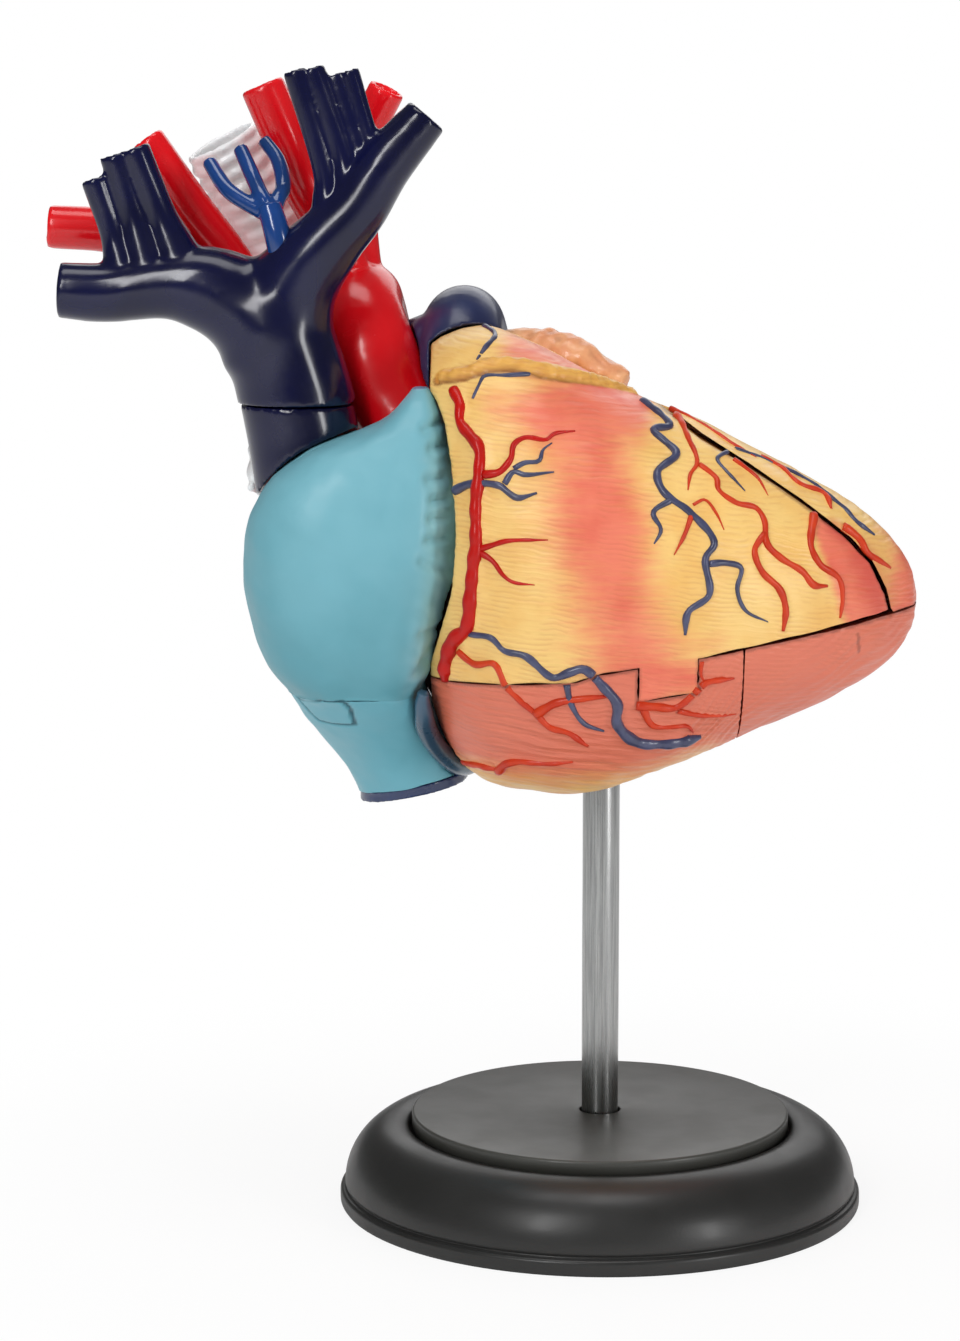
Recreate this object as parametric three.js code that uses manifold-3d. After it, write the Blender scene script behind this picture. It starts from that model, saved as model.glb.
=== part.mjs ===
// Human heart model for the classroom: a take-apart heart that turns on a steel rod above a round base.
// Millimetres, +Z up, +X to the right, -Y towards the front. The origin is under the middle of the base.
import * as THREE from 'three';
import { mergeVertices } from 'three/addons/utils/BufferGeometryUtils.js';
import Module from 'manifold-3d';

const wasm = await Module();
wasm.setup();

// Stand
const BASE_DIAMETER = 85.4;
const BASE_HEIGHT = 15;
const RIM_HEIGHT = 2.6;
const RIM_STEP = 0.8;
const RIM_LIP = 0.6;
const SHOULDER_DROP = 1.7;
const SHELL_WALL = 2;
const DISC_DIAMETER = 61.8;
const DISC_THICKNESS = 3;
const DISC_CHAMFER = 0.4;
const UNDERPLATE_DIAMETER = 75;
const UNDERPLATE_THICKNESS = 1.6;
const LEDGE_WIDTH = 1.8;
const HUB_DIAMETER = 12;
const HUB_FLOOR = 2.4;
const SCREW_COUNT = 3;
const SCREW_INSET = 11.5;
const SCREW_DIAMETER = 2.4;
const SCREW_LENGTH = 8;
const SCREW_HEAD_DIAMETER = 5;
const SCREW_HEAD_HEIGHT = 1.3;
const BOSS_DIAMETER = 7;
const ROD_DIAMETER = 6;
const ROD_SHOWN = 55;
const ROD_IN_HEART = 14;
const ROD_CHAMFER = 0.5;
const HEART_HEIGHT = BASE_HEIGHT + ROD_SHOWN;

// Heart: walls, seams and clearances
const CLEARANCE = 0.3;
const VENTRICLE_WALL = 2.4;
const ATRIUM_WALL = 2;
const IVC_WALL = 1.6;
const IVC_MOUTH_RISE = 4;
const LINER_WALL = 1.2;
const LINER_SHOWN = 1.8;
const LINER_DEPTH = 7;
const SPLIT_Y = 2;
const ATRIUM_SPLIT_Y = -12;
const FLOOR_SPLIT_X = 21;
const TAB_LEFT = 4.5;
const TAB_RIGHT = 14;
const TAB_DEPTH = 5.5;
const TAB_BOTTOM_RISE = 1.5;
const TAB_TOP_RISE = 1.4;
const SOCKET_DIAMETER = 12;
const SOCKET_ROOF = 3;
const PEG_DIAMETER = 2.2;
const PEG_LENGTH = 9;
const PEG_BOSS_DIAMETER = 5.6;
const PEG_BOSS_END = 1.5;
const PEG_PLACES = [-16, -3];
const MOUTH_SHARE = 0.72;
const MOUTH_DEPTH = 3;
const TWIG_MOUTH_DEPTH = 2;
const SPIGOT_DIAMETER = 13.6;
const SPIGOT_LENGTH = 5;
const SPIGOT_ROOT = 2;
const SVC_JOINT_Z = 61.2;
const VEIN_PULL = new THREE.Vector3(-0.25, -0.05, 0.967).normalize();
const TRACHEA_BORE = 10.4;
const TRACHEA_BORE_DEPTH = 12;

// Valve plate and what it carries
const PLATE_X = -22.7;
const PLATE_THICKNESS = 2;
const TRICUSPID = { y: -9, z: 30, diameter: 16, throat: 9, length: 11 };
const MITRAL = { y: 16, z: 40, diameter: 14, throat: 8, length: 11 };
const AORTIC = { y: 4, z: 50, diameter: 10, dome: 3 };
const DOOR_REACH = 16;
const DOOR_INSET = 1;
const CUSP_WALL = 1.2;
const SEPTUM_FRONT = 2;
const SEPTUM_THICKNESS = 4;

// Facets
const VENTRICLE_SIDES = 26;
const ATRIUM_SIDES = 18;
const VESSEL_SIDES = 10;
const SMALL_SIDES = 8;
const TWIG_SIDES = 6;
const TURNED_SIDES = 36;
const ROUND_SIDES = 14;
const ROD_SIDES = 24;
const REACH = 90;
const OVERSHOOT = 5;

// Outer form of the ventricles: x, bottom, top, front, back
const VENTRICLE_ROWS = [
  [-27.5, 13, 70.5, -19, 22],
  [-24, 5, 72.6, -22.5, 25],
  [-19, 0.6, 73.4, -26.5, 28],
  [-12, -1, 71.2, -29.5, 30],
  [-3, -1.2, 66.6, -31, 30],
  [6, 1.6, 62.3, -31, 28.5],
  [15.5, 5.5, 58.6, -30, 26],
  [25, 9.8, 53.7, -27, 22],
  [33.5, 13.3, 49.3, -23, 17],
  [41, 17.2, 44.6, -18, 11],
  [46.5, 21.5, 39.5, -12.5, 5.5],
  [49.5, 26.5, 34.5, -8, 1],
  [50.3, 30.5, 30.5, -3.5, -3.5],
];

// Outer form of the right atrium: z, left, right, front, back
const RIGHT_ATRIUM_ROWS = [
  [16, -50.3, -28.8, -18.5, 14],
  [20.5, -53.6, -28, -21.5, 12.5],
  [27, -55.9, -26.2, -24, 11],
  [34, -57, -24.3, -25, 10],
  [42, -56.5, -23.7, -25, 9],
  [49, -53.5, -24, -24, 7],
  [54.5, -47.2, -24.6, -22, 4],
  [57.3, -40.2, -25.1, -20.5, 1],
  [59.5, -34.9, -25.5, -18.7, -1.4],
  [63, -31.6, -26.8, -16, -5],
  [64.6, -30.3, -28.2, -13, -8],
];

// Outer form of the left atrium: z, left, right, front, back
const LEFT_ATRIUM_ROWS = [
  [27, -42, -26, 16, 33],
  [32, -47, -24.2, 13, 38],
  [40, -50.5, -23.8, 12, 40],
  [48, -50, -23.8, 12.5, 39.5],
  [56, -46, -24.2, 15, 36],
  [60, -40, -26, 19, 30],
];

// Outer form of the inferior vena cava: z, left, right, front, back
const IVC_ROWS = [
  [-2.9, -39.5, -20.9, -1, 17.6],
  [3.5, -43, -23, -3.8, 16.8],
  [9, -46.6, -25.4, -9.5, 15.5],
  [15.7, -50.6, -28.8, -17.5, 14.5],
];

// Seam between the walls and the floors, seen from the front: x, z
const LOWER_SEAM_LEFT = [[-30, 18.9], [-27.4, 18.9], [-5, 20.6], [-2, 21.8]];
const LOWER_SEAM_RIGHT = [[21.3, 25.6], [45, 29.2], [60, 31]];
const TAB_TOP = 22.9;

// Seam between the two ventricle walls, from the top edge to the lower seam: x, z
const FRONT_SEAM = [
  [4, 76], [4, 70], [8.3, 62], [15, 57.3], [22, 53], [30.3, 47.4], [37.6, 41.9], [41.5, 38], [44, 33],
  [45, 29.2],
];

// Thick ridge along the top of the front wall and all vessels: x, y, z, radius
const RIDGE = [
  [-27, -8, 68.5, 2.5], [-20, -13, 66, 2.5], [-12, -14, 66, 2.5], [-3, -12, 64.5, 2.5], [5, -6, 61.5, 2.5],
];
const CORONARY_SINUS = [
  [-28.6, -13.5, 13.6, 1.5], [-28.4, -11, 11, 1.7], [-26.6, -6, 6.5, 1.7], [-23.4, 0, 2.6, 1.7],
  [-21, 8, 2, 1.8], [-22.5, 18, 7.5, 2], [-25.6, 24.5, 17, 2.2], [-25.8, 27, 25.5, 2.3],
];
const AORTA = [
  [-20, 2, 42, 8], [-23.6, 4, 47, 8], [-28, 6, 53, 7.8], [-34, 8.5, 61, 7.7], [-37.6, 10, 69, 7.6],
  [-39.4, 13.5, 74.5, 7.3], [-38.7, 18.5, 76.3, 6.6], [-36.8, 25, 74.5, 4.9], [-35.6, 30, 69.5, 4.6],
  [-35, 32.5, 64, 4.6],
];
const BRACHIOCEPHALIC = [
  [-42, 13, 77, 4.2], [-50, 12.5, 76.5, 4.2], [-57, 12.5, 77.5, 4], [-64, 12.5, 80.5, 3.8],
  [-70, 12.3, 84.5, 3.7], [-78, 12, 87.8, 3.6], [-89.5, 12, 88.8, 3.5],
];
const RIGHT_CAROTID = [[-56, 12.5, 77.5, 3], [-60, 12.5, 84, 3], [-66, 12, 92, 3], [-73.5, 12, 103, 2.8]];
const LEFT_CAROTID = [
  [-39.8, 15.5, 77, 3.5], [-42.4, 15, 85.5, 3.5], [-47.2, 13, 93.5, 3.6], [-51.2, 12, 103, 3.6],
  [-54.8, 12, 111.5, 3.6],
];
const LEFT_SUBCLAVIAN = [
  [-37.5, 19, 78, 3.2], [-37.6, 18.4, 87, 3.2], [-39, 17, 95, 3.2], [-38.5, 15, 100, 3.1], [-37.5, 14, 105, 3],
  [-34.6, 13, 110.9, 3],
];
const PULMONARY = [
  [-23.2, 7, 60, 6.2], [-23, 8, 66, 7.2], [-22.7, 13, 72, 6.6], [-21.5, 24, 72, 6], [-20, 33, 68, 5.5],
];
const RIGHT_PULMONARY = [
  [-24, 17, 71, 5], [-33, 23, 67, 5], [-43, 21.5, 62, 4.9], [-50, 17.3, 57, 4.8], [-54.5, 13.5, 53, 4.6],
];
const SVC_LOWER = [[-47.2, -2.2, 52, 8.9], [-47.8, -2, 56, 8.9], [-49.2, -2, 63, 8.8]];
const SVC_UPPER = [
  [-48.3, -2, 59.5, 9.2], [-50.5, -2, 68, 8.8], [-52.8, -2.5, 74.5, 8.6], [-53.5, -3, 79, 7.5],
];
const RIGHT_VEIN = [
  [-55, -3, 76, 7], [-62, -3, 80, 6.2], [-70, -3, 80.2, 5.2], [-79, -3, 79, 4.6], [-86.3, -3, 79.4, 4.4],
];
const RIGHT_NECK_VEINS = [
  [[-75, -3, 80, 2.2], [-77.5, -3, 88, 2.2], [-80.5, -3, 97, 2.2]],
  [[-71.5, -3, 81, 2.4], [-74.3, -3, 91, 2.4], [-77.3, -3, 100.7, 2.4]],
  [[-66, -3, 81, 2.6], [-70, -3, 91, 2.6], [-74.2, -3, 101.7, 2.6]],
];
const LEFT_VEIN = [
  [-51, -3, 75, 6.6], [-46.6, -5, 84, 5.8], [-39.3, -6, 91.8, 4.7], [-35, -6, 98.5, 4.3],
  [-28, -5.5, 106.7, 3.5],
];
const LEFT_NECK_VEINS = [
  [[-43, -5.5, 90, 2], [-43.8, -6, 97, 2], [-48.6, -5, 113.8, 2]],
  [[-39.5, -6, 93, 2], [-41, -6, 100, 2], [-46, -5, 114.1, 2]],
  [[-37.5, -6, 96, 1.4], [-38.6, -6, 101.5, 1.4], [-42.5, -5, 113.2, 1.3]],
  [[-35.5, -6, 98, 1.6], [-36.6, -6, 102, 1.6], [-40.2, -5, 113.8, 1.6]],
];
const THYROID_TRUNK = [[-50.5, -6, 83, 2.1], [-51.6, -6, 88.6, 2.1], [-52.9, -5, 92.8, 1.9]];
const THYROID_PRONGS = [
  [[-52.6, -5.2, 91.2, 1.4], [-55.9, -4, 92.8, 1.3], [-59.5, -2, 95.1, 1.3], [-62.7, 2, 99.4, 1.2]],
  [[-52.8, -5, 92, 1.4], [-54, -4, 94, 1.3], [-55.8, 0, 97.4, 1.3], [-57.8, 3, 101.5, 1.2]],
  [
    [-52.4, -5, 91, 1.4], [-51.6, -3.4, 93.5, 1.3], [-50.8, -1, 95.4, 1.3], [-51.8, 2, 99.7, 1.2],
    [-54.1, 4, 102.8, 1.1],
  ],
];
const TRACHEA = [[-61.9, 20, 102.3, 6.4], [-52.3, 23.2, 84, 6.3], [-47.5, 26.5, 74, 6.1], [-46, 29.5, 68, 6]];
const RIGHT_BRONCHUS = [[-47, 29.5, 69, 4], [-52, 27.5, 60, 3.9], [-54.3, 23.5, 51.5, 3.8], [-54.5, 19, 45.5, 3.7]];
const LEFT_BRONCHUS = [
  [-45, 30.5, 68, 3.8], [-42.5, 32.5, 63.5, 3.8], [-37, 36, 59.5, 3.8], [-30, 39.5, 56, 3.8],
];
const PULMONARY_VEINS = {
  right_upper_pulmonary_vein: [[-46, 29, 48, 3.2], [-52, 32, 48.4, 3.2], [-57, 35, 49, 3.2]],
  right_lower_pulmonary_vein: [[-46, 28, 38.5, 3.2], [-52, 28.5, 37.2, 3.2], [-57, 29, 36, 3.2]],
  left_upper_pulmonary_vein: [[-27, 33, 49.5, 3.2], [-21.5, 37.5, 53, 3.2], [-17, 41, 56, 3.2]],
  left_lower_pulmonary_vein: [[-28, 34, 38, 3.2], [-22, 39.5, 39.5, 3.2], [-17, 43, 40, 3.2]],
};
const LEFT_AURICLE = [
  [-24, 24, 62, 3.5], [-18, 21, 66.5, 4.4], [-12, 17, 68.5, 4.1], [-5, 13, 67, 4.6], [-1, 11.5, 65, 3.9],
  [4, 10, 62.5, 3.5],
];
const PAPILLARY_MUSCLES = [
  [[6, -14, -4, 4.4], [4, -13, 10, 3.2], [1, -12, 24, 1.4]],
  [[19, -10, 0, 4], [16, -10, 14, 2.8], [11, -10, 26, 1.2]],
  [[14, 15, -2, 4.4], [10, 14.5, 14, 3.2], [4, 15, 30, 1.4]],
];

// Solids

// A closed body of a geometry's positions, facing out.
function solid(geometry) {
  const bare = new THREE.BufferGeometry();
  bare.setAttribute('position', geometry.getAttribute('position').clone());
  if (geometry.index) bare.setIndex(geometry.index.clone());
  const merged = mergeVertices(bare, 1e-4);
  const faces = [];
  const corners = merged.index.array;
  for (let at = 0; at < corners.length; at += 3) {
    const [a, b, c] = corners.subarray(at, at + 3);
    if (a !== b && b !== c && c !== a) faces.push(a, b, c);
  }
  const vertProperties = new Float32Array(merged.getAttribute('position').array);
  const body = new wasm.Manifold(new wasm.Mesh({ numProp: 3, vertProperties, triVerts: new Uint32Array(faces) }));
  if (body.volume() > 0) return body;
  return new wasm.Manifold(new wasm.Mesh({ numProp: 3, vertProperties, triVerts: new Uint32Array(faces.reverse()) }));
}

// The largest of the separate bodies that a cut has left.
function largest(body) {
  return body.decompose().reduce((best, next) => (next.volume() > best.volume() ? next : best));
}

function join(...bodies) {
  return bodies.reduce((whole, next) => whole.add(next));
}

function cut(body, ...tools) {
  return tools.reduce((rest, tool) => rest.subtract(tool), body);
}

// A skin over rings of points, closed by a fan at each end.
function skin(rings) {
  const sides = rings[0].length;
  const points = rings.flat();
  const middle = (ring) => ring.reduce((sum, point) => sum.add(point), new THREE.Vector3()).divideScalar(sides);
  const first = points.push(middle(rings[0])) - 1;
  const last = points.push(middle(rings.at(-1))) - 1;
  const end = (rings.length - 1) * sides;
  const index = [];
  for (let side = 0; side < sides; side += 1) {
    const next = (side + 1) % sides;
    index.push(first, next, side, last, end + side, end + next);
    for (let ring = 0; ring < end; ring += sides) {
      index.push(ring + side, ring + next, ring + sides + side);
      index.push(ring + next, ring + sides + next, ring + sides + side);
    }
  }
  const geometry = new THREE.BufferGeometry().setFromPoints(points);
  geometry.setIndex(index);
  return solid(geometry);
}

const ALONG_X = (station, z, y) => new THREE.Vector3(station, y, z);
const ALONG_Z = (station, x, y) => new THREE.Vector3(x, y, station);

// Rows of a loft moved inwards, or outwards where the inset is negative, with its ends moved by their own insets.
function insetRows(rows, inset, [firstInset, lastInset] = [inset, inset]) {
  const first = rows[0][0];
  const length = rows.at(-1)[0] - first;
  const scale = (length - firstInset - lastInset) / length;
  return rows
    .map(([at, a, b, c, d]) => [first + firstInset + (at - first) * scale, a + inset, b - inset, c + inset, d - inset])
    .filter(([, a, b, c, d]) => inset <= 0 || (b - a > inset && d - c > inset));
}

// A loft of rounded ovals through its rows; past its ends it keeps the end row's size.
function loft(rows, along, { sides, power = 2.3, steps = 1, from = rows[0][0], to = rows.at(-1)[0] }) {
  const places = rows.map((row) => row[0]);
  const spline = new THREE.CubicInterpolant(places, rows.flatMap((row) => row.slice(1)), 4, new Float64Array(4));
  const stations = [from, to];
  for (let row = 0; row < rows.length - 1; row += 1) {
    for (let step = 0; step < steps; step += 1) {
      stations.push(THREE.MathUtils.lerp(places[row], places[row + 1], step / steps));
    }
  }
  stations.push(places.at(-1));
  const kept = [...new Set(stations)].filter((at) => at >= from && at <= to).sort((a, b) => a - b);
  const round = (value) => Math.sign(value) * Math.abs(value) ** (2 / power);
  return skin(kept.map((at) => {
    const [a, b, c, d] = spline.evaluate(THREE.MathUtils.clamp(at, places[0], places.at(-1)));
    return Array.from({ length: sides }, (_, side) => {
      const angle = (2 * Math.PI * side) / sides;
      const u = (a + b) / 2 + ((b - a) / 2) * round(Math.cos(angle));
      const v = (c + d) / 2 + ((d - c) / 2) * round(Math.sin(angle));
      return along(at, u, v);
    });
  }));
}

// A smooth curve through the points of a path, whose rows are x, y, z and radius.
function smoothCurve(path) {
  const points = path.map(([x, y, z]) => new THREE.Vector3(x, y, z));
  return new THREE.CatmullRomCurve3(points, false, 'centripetal');
}

// A tube along the smooth curve of a path.
function tube(path, { grow = 0, sides = VESSEL_SIDES, steps = 2 } = {}) {
  const curve = smoothCurve(path);
  const spans = path.length - 1;
  const count = spans * steps;
  const across = new THREE.Vector3(0, 1, 0);
  if (Math.abs(curve.getTangent(0).y) > 0.9) across.set(1, 0, 0);
  const rings = [];
  for (let step = 0; step <= count; step += 1) {
    const share = step / count;
    const tangent = curve.getTangent(share);
    const centre = curve.getPoint(share);
    if (step === 0) centre.addScaledVector(tangent, -grow);
    if (step === count) centre.addScaledVector(tangent, grow);
    across.addScaledVector(tangent, -across.dot(tangent)).normalize();
    const up = new THREE.Vector3().crossVectors(tangent, across);
    const span = Math.min(Math.floor(share * spans), spans - 1);
    const radius = THREE.MathUtils.lerp(path[span][3], path[span + 1][3], share * spans - span) + grow;
    rings.push(Array.from({ length: sides }, (_, side) => {
      const angle = (2 * Math.PI * side) / sides;
      return centre.clone()
        .addScaledVector(across, radius * Math.cos(angle))
        .addScaledVector(up, radius * Math.sin(angle));
    }));
  }
  return skin(rings);
}

// A straight round bar between two points.
function bar(from, to, radius, sides = VESSEL_SIDES) {
  return tube([[...from, radius], [...to, radius]], { sides, steps: 1 });
}

// The hollow mouth at the far end of a vessel.
function mouth(path, depth = MOUTH_DEPTH, radius = path.at(-1)[3] * MOUTH_SHARE, sides = SMALL_SIDES) {
  const curve = smoothCurve(path);
  const end = curve.getPoint(1);
  const tangent = curve.getTangent(1);
  const inside = end.clone().addScaledVector(tangent, -depth);
  const outside = end.clone().addScaledVector(tangent, 1);
  return bar(inside.toArray(), outside.toArray(), radius, sides);
}

function vessel(path, options) {
  return cut(tube(path, options), mouth(path));
}

// An outline of x and z points, extruded from the front to the back.
function prism(outline, front = -REACH, back = REACH) {
  const shape = new THREE.Shape(outline.map(([x, z]) => new THREE.Vector2(x, z)));
  const geometry = new THREE.ExtrudeGeometry(shape, { depth: back - front, bevelEnabled: false });
  geometry.rotateX(Math.PI / 2).translate(0, back, 0);
  return solid(geometry);
}

function slab(left, right, front = -REACH, back = REACH) {
  return prism([[left, -REACH], [right, -REACH], [right, 2 * REACH], [left, 2 * REACH]], front, back);
}

// Everything between two heights.
function level(bottom, top) {
  return prism([[-REACH, bottom], [REACH, bottom], [REACH, top], [-REACH, top]]);
}

// A turned solid about Z whose profile of r and z points starts and ends on the axis.
function turned(profile, sides = TURNED_SIDES) {
  const geometry = new THREE.LatheGeometry(profile.map(([r, z]) => new THREE.Vector2(r, z)), sides);
  return solid(geometry.rotateX(Math.PI / 2));
}

// A turned solid laid along X, with its profile's origin at a point.
function turnedAlongX(profile, [x, y, z], sides = ROUND_SIDES) {
  const points = profile.map(([r, height]) => new THREE.Vector2(r, height));
  const geometry = new THREE.LatheGeometry(points, sides);
  geometry.rotateZ(-Math.PI / 2).translate(x, y, z);
  return solid(geometry);
}

function upright(radius, bottom, top, x = 0, y = 0, sides = ROUND_SIDES) {
  const geometry = new THREE.CylinderGeometry(radius, radius, top - bottom, sides);
  geometry.rotateX(Math.PI / 2).translate(x, y, (top + bottom) / 2);
  return solid(geometry);
}

// A named mesh with its own finish.
function piece(name, body, { colour, roughness, metalness = 0 }) {
  const { vertProperties, triVerts } = body.getMesh();
  const geometry = new THREE.BufferGeometry();
  geometry.setAttribute('position', new THREE.BufferAttribute(new Float32Array(vertProperties), 3));
  geometry.setIndex(new THREE.BufferAttribute(new Uint32Array(triVerts), 1));
  geometry.computeVertexNormals();
  const mesh = new THREE.Mesh(geometry, new THREE.MeshStandardMaterial({ color: colour, roughness, metalness }));
  mesh.name = name;
  return mesh;
}

// Finishes
const BLACK_PLASTIC = { colour: 0x262625, roughness: 0.4 };
const GREY_PLASTIC = { colour: 0x67665f, roughness: 0.55 };
const STEEL = { colour: 0xb4b4b2, roughness: 0.25, metalness: 1 };
const YELLOW_MUSCLE = { colour: 0xebc46f, roughness: 0.5 };
const SALMON_MUSCLE = { colour: 0xd9705a, roughness: 0.5 };
const INNER_MUSCLE = { colour: 0xc2554a, roughness: 0.5 };
const VALVE_IVORY = { colour: 0xe6d9b8, roughness: 0.5 };
const ATRIUM_BLUE = { colour: 0x7cc0cb, roughness: 0.4 };
const NAVY_VEIN = { colour: 0x14163a, roughness: 0.2 };
const STEEL_BLUE_VEIN = { colour: 0x3c6a9b, roughness: 0.3 };
const THYROID_BLUE = { colour: 0x1f4e8f, roughness: 0.25 };
const ARTERY_RED = { colour: 0xb8121a, roughness: 0.2 };
const PINK_ATRIUM = { colour: 0xc8574f, roughness: 0.4 };
const AURICLE_BROWN = { colour: 0xb0694a, roughness: 0.4 };
const CARTILAGE = { colour: 0xd8d8d2, roughness: 0.35 };

// Stand
function buildStand() {
  const rim = BASE_DIAMETER / 2;
  const shoulder = rim - RIM_STEP;
  const lip = RIM_HEIGHT + RIM_LIP;
  const discRadius = DISC_DIAMETER / 2;
  const recess = BASE_HEIGHT - DISC_THICKNESS;
  const crown = BASE_HEIGHT - SHOULDER_DROP;
  const bore = ROD_DIAMETER / 2 + CLEARANCE;
  const roof = recess - SHELL_WALL;
  const ledge = UNDERPLATE_DIAMETER / 2 - LEDGE_WIDTH;
  const rodFoot = UNDERPLATE_THICKNESS + HUB_FLOOR;
  const domeWidth = shoulder - discRadius;
  const dome = new THREE.EllipseCurve(discRadius, lip, domeWidth, crown - lip, 0, Math.PI / 2).getPoints(5);
  const inner = discRadius + CLEARANCE;
  const shell = turned([
    [0, UNDERPLATE_THICKNESS],
    [HUB_DIAMETER / 2, UNDERPLATE_THICKNESS],
    [HUB_DIAMETER / 2, roof],
    [discRadius, roof],
    [ledge, UNDERPLATE_THICKNESS + SHELL_WALL],
    [ledge, UNDERPLATE_THICKNESS],
    [UNDERPLATE_DIAMETER / 2 + CLEARANCE, UNDERPLATE_THICKNESS],
    [UNDERPLATE_DIAMETER / 2 + CLEARANCE, 0],
    [rim, 0],
    [rim, RIM_HEIGHT],
    ...dome.map(({ x, y }) => [Math.max(x, inner), y]),
    [inner, recess],
    [bore, recess],
    [bore, rodFoot],
    [0, rodFoot],
  ]);
  const screwCircle = UNDERPLATE_DIAMETER / 2 - SCREW_INSET;
  const places = Array.from({ length: SCREW_COUNT }, (_, screw) => {
    const angle = Math.PI / 2 + (2 * Math.PI * screw) / SCREW_COUNT;
    return [screwCircle * Math.cos(angle), screwCircle * Math.sin(angle)];
  });
  const shank = SCREW_DIAMETER / 2;
  const bosses = places.map(([x, y]) => upright(BOSS_DIAMETER / 2, UNDERPLATE_THICKNESS, roof + 1, x, y));
  const tip = SCREW_LENGTH + CLEARANCE;
  const threads = places.map(([x, y]) => upright(shank + CLEARANCE, 0, tip, x, y));
  const head = (grow) => turned([
    [0, 0],
    [SCREW_HEAD_DIAMETER / 2 + grow, 0],
    [shank + grow, SCREW_HEAD_HEIGHT],
    [shank + grow, SCREW_LENGTH],
    [0, SCREW_LENGTH],
  ], ROUND_SIDES);
  const plate = upright(UNDERPLATE_DIAMETER / 2, 0, UNDERPLATE_THICKNESS, 0, 0, TURNED_SIDES);
  const discEdge = discRadius - DISC_CHAMFER;
  const disc = turned([
    [0, recess],
    [discRadius, recess],
    [discRadius, BASE_HEIGHT - DISC_CHAMFER],
    [discEdge, BASE_HEIGHT],
    [0, BASE_HEIGHT],
  ]);
  const rodRadius = ROD_DIAMETER / 2;
  const rodTop = HEART_HEIGHT + ROD_IN_HEART;
  const rod = turned([
    [0, rodFoot],
    [rodRadius - ROD_CHAMFER, rodFoot],
    [rodRadius, rodFoot + ROD_CHAMFER],
    [rodRadius, rodTop - ROD_CHAMFER],
    [rodRadius - ROD_CHAMFER, rodTop],
    [0, rodTop],
  ], ROD_SIDES);
  const moved = (body, [x, y]) => body.translate([x, y, 0]);
  const stand = new THREE.Group();
  stand.add(
    piece('base_shell', cut(join(shell, ...bosses), ...threads), BLACK_PLASTIC),
    piece('base_disc', cut(disc, upright(bore, recess - 1, BASE_HEIGHT + 1)), GREY_PLASTIC),
    piece('base_underplate', cut(plate, ...places.map((place) => moved(head(CLEARANCE), place))), BLACK_PLASTIC),
    piece('rod', rod, STEEL),
    ...places.map((place, screw) => piece(`underplate_screw_${screw + 1}`, moved(head(0), place), STEEL)),
  );
  return stand;
}

// Outer forms that several pieces share or keep clear of
const ventricleForm = (grow = 0) => loft(insetRows(VENTRICLE_ROWS, -grow), ALONG_X, { sides: VENTRICLE_SIDES });
const chamber = (inset = 0) => {
  const wall = VENTRICLE_WALL + inset;
  const rows = insetRows(VENTRICLE_ROWS, wall, [0, wall]);
  return loft(rows, ALONG_X, { sides: VENTRICLE_SIDES, from: rows[0][0] - 2 * OVERSHOOT });
};
const rightAtriumForm = (grow = 0) => (
  loft(insetRows(RIGHT_ATRIUM_ROWS, -grow), ALONG_Z, { sides: ATRIUM_SIDES, power: 2.8 })
);
const leftAtriumForm = (grow = 0) => (
  loft(insetRows(LEFT_ATRIUM_ROWS, -grow), ALONG_Z, { sides: ATRIUM_SIDES, power: 2.6 })
);
const ivcForm = (inset, from, to) => (
  loft(insetRows(IVC_ROWS, inset, [0, 0]), ALONG_Z, { sides: ATRIUM_SIDES, power: 2.1, from, to })
);
const inFrontOfPlate = slab(-REACH, PLATE_X - 2 * CLEARANCE);
const aortaForm = (grow = 0) => tube(AORTA, { grow, sides: 14 }).intersect(inFrontOfPlate);
const pulmonaryForm = (grow = 0) => tube(PULMONARY, { grow, sides: 12 });
const sinusForm = (grow = 0) => tube(CORONARY_SINUS, { grow, sides: SMALL_SIDES, steps: 1 });
const tracheaForm = (grow = 0) => tube(TRACHEA, { grow });

// Everything below the lower vena cava's mouth, which rises to the right; the drop moves it down.
function belowMouth(drop) {
  const [bottom, left, right] = IVC_ROWS[0];
  const overshootRise = (OVERSHOOT * IVC_MOUTH_RISE) / (right - left);
  return prism([
    [left - OVERSHOOT, bottom - drop - overshootRise],
    [left - OVERSHOOT, -REACH],
    [right + OVERSHOOT, -REACH],
    [right + OVERSHOOT, bottom + IVC_MOUTH_RISE - drop + overshootRise],
  ]);
}

// Everything left of the right atrium's outline, swept from front to back, so the front wall lifts straight off.
function besideAtrium(gap) {
  const edge = RIGHT_ATRIUM_ROWS.map(([z, , right]) => [right + gap, z]);
  const bottom = edge[0][1] - gap;
  const top = edge.at(-1)[1] + gap;
  return prism([[-REACH, bottom], [edge[0][0], bottom], ...edge.slice(1), [-REACH, top]]);
}

// The part below the seam between walls and floors, with the notch for the wall's tab in front.
function belowSeam(gap, front, back, tabbed) {
  const lift = ([x, z]) => [x, z + gap];
  const tabBottom = TAB_TOP - TAB_DEPTH + gap;
  const tab = [
    [TAB_LEFT + gap, TAB_TOP + gap],
    [TAB_LEFT + gap, tabBottom],
    [TAB_RIGHT - gap, tabBottom + TAB_BOTTOM_RISE],
    [TAB_RIGHT - gap, TAB_TOP + TAB_TOP_RISE + gap],
  ];
  const left = LOWER_SEAM_LEFT.map(lift);
  const right = LOWER_SEAM_RIGHT.map(lift);
  const line = tabbed ? [...left, ...tab, ...right] : [left[0], right.at(-1)];
  const start = [[-REACH, -REACH], [-REACH, left[0][1]]];
  return prism([...start, ...line, [right.at(-1)[0], -REACH]], front, back);
}

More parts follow.
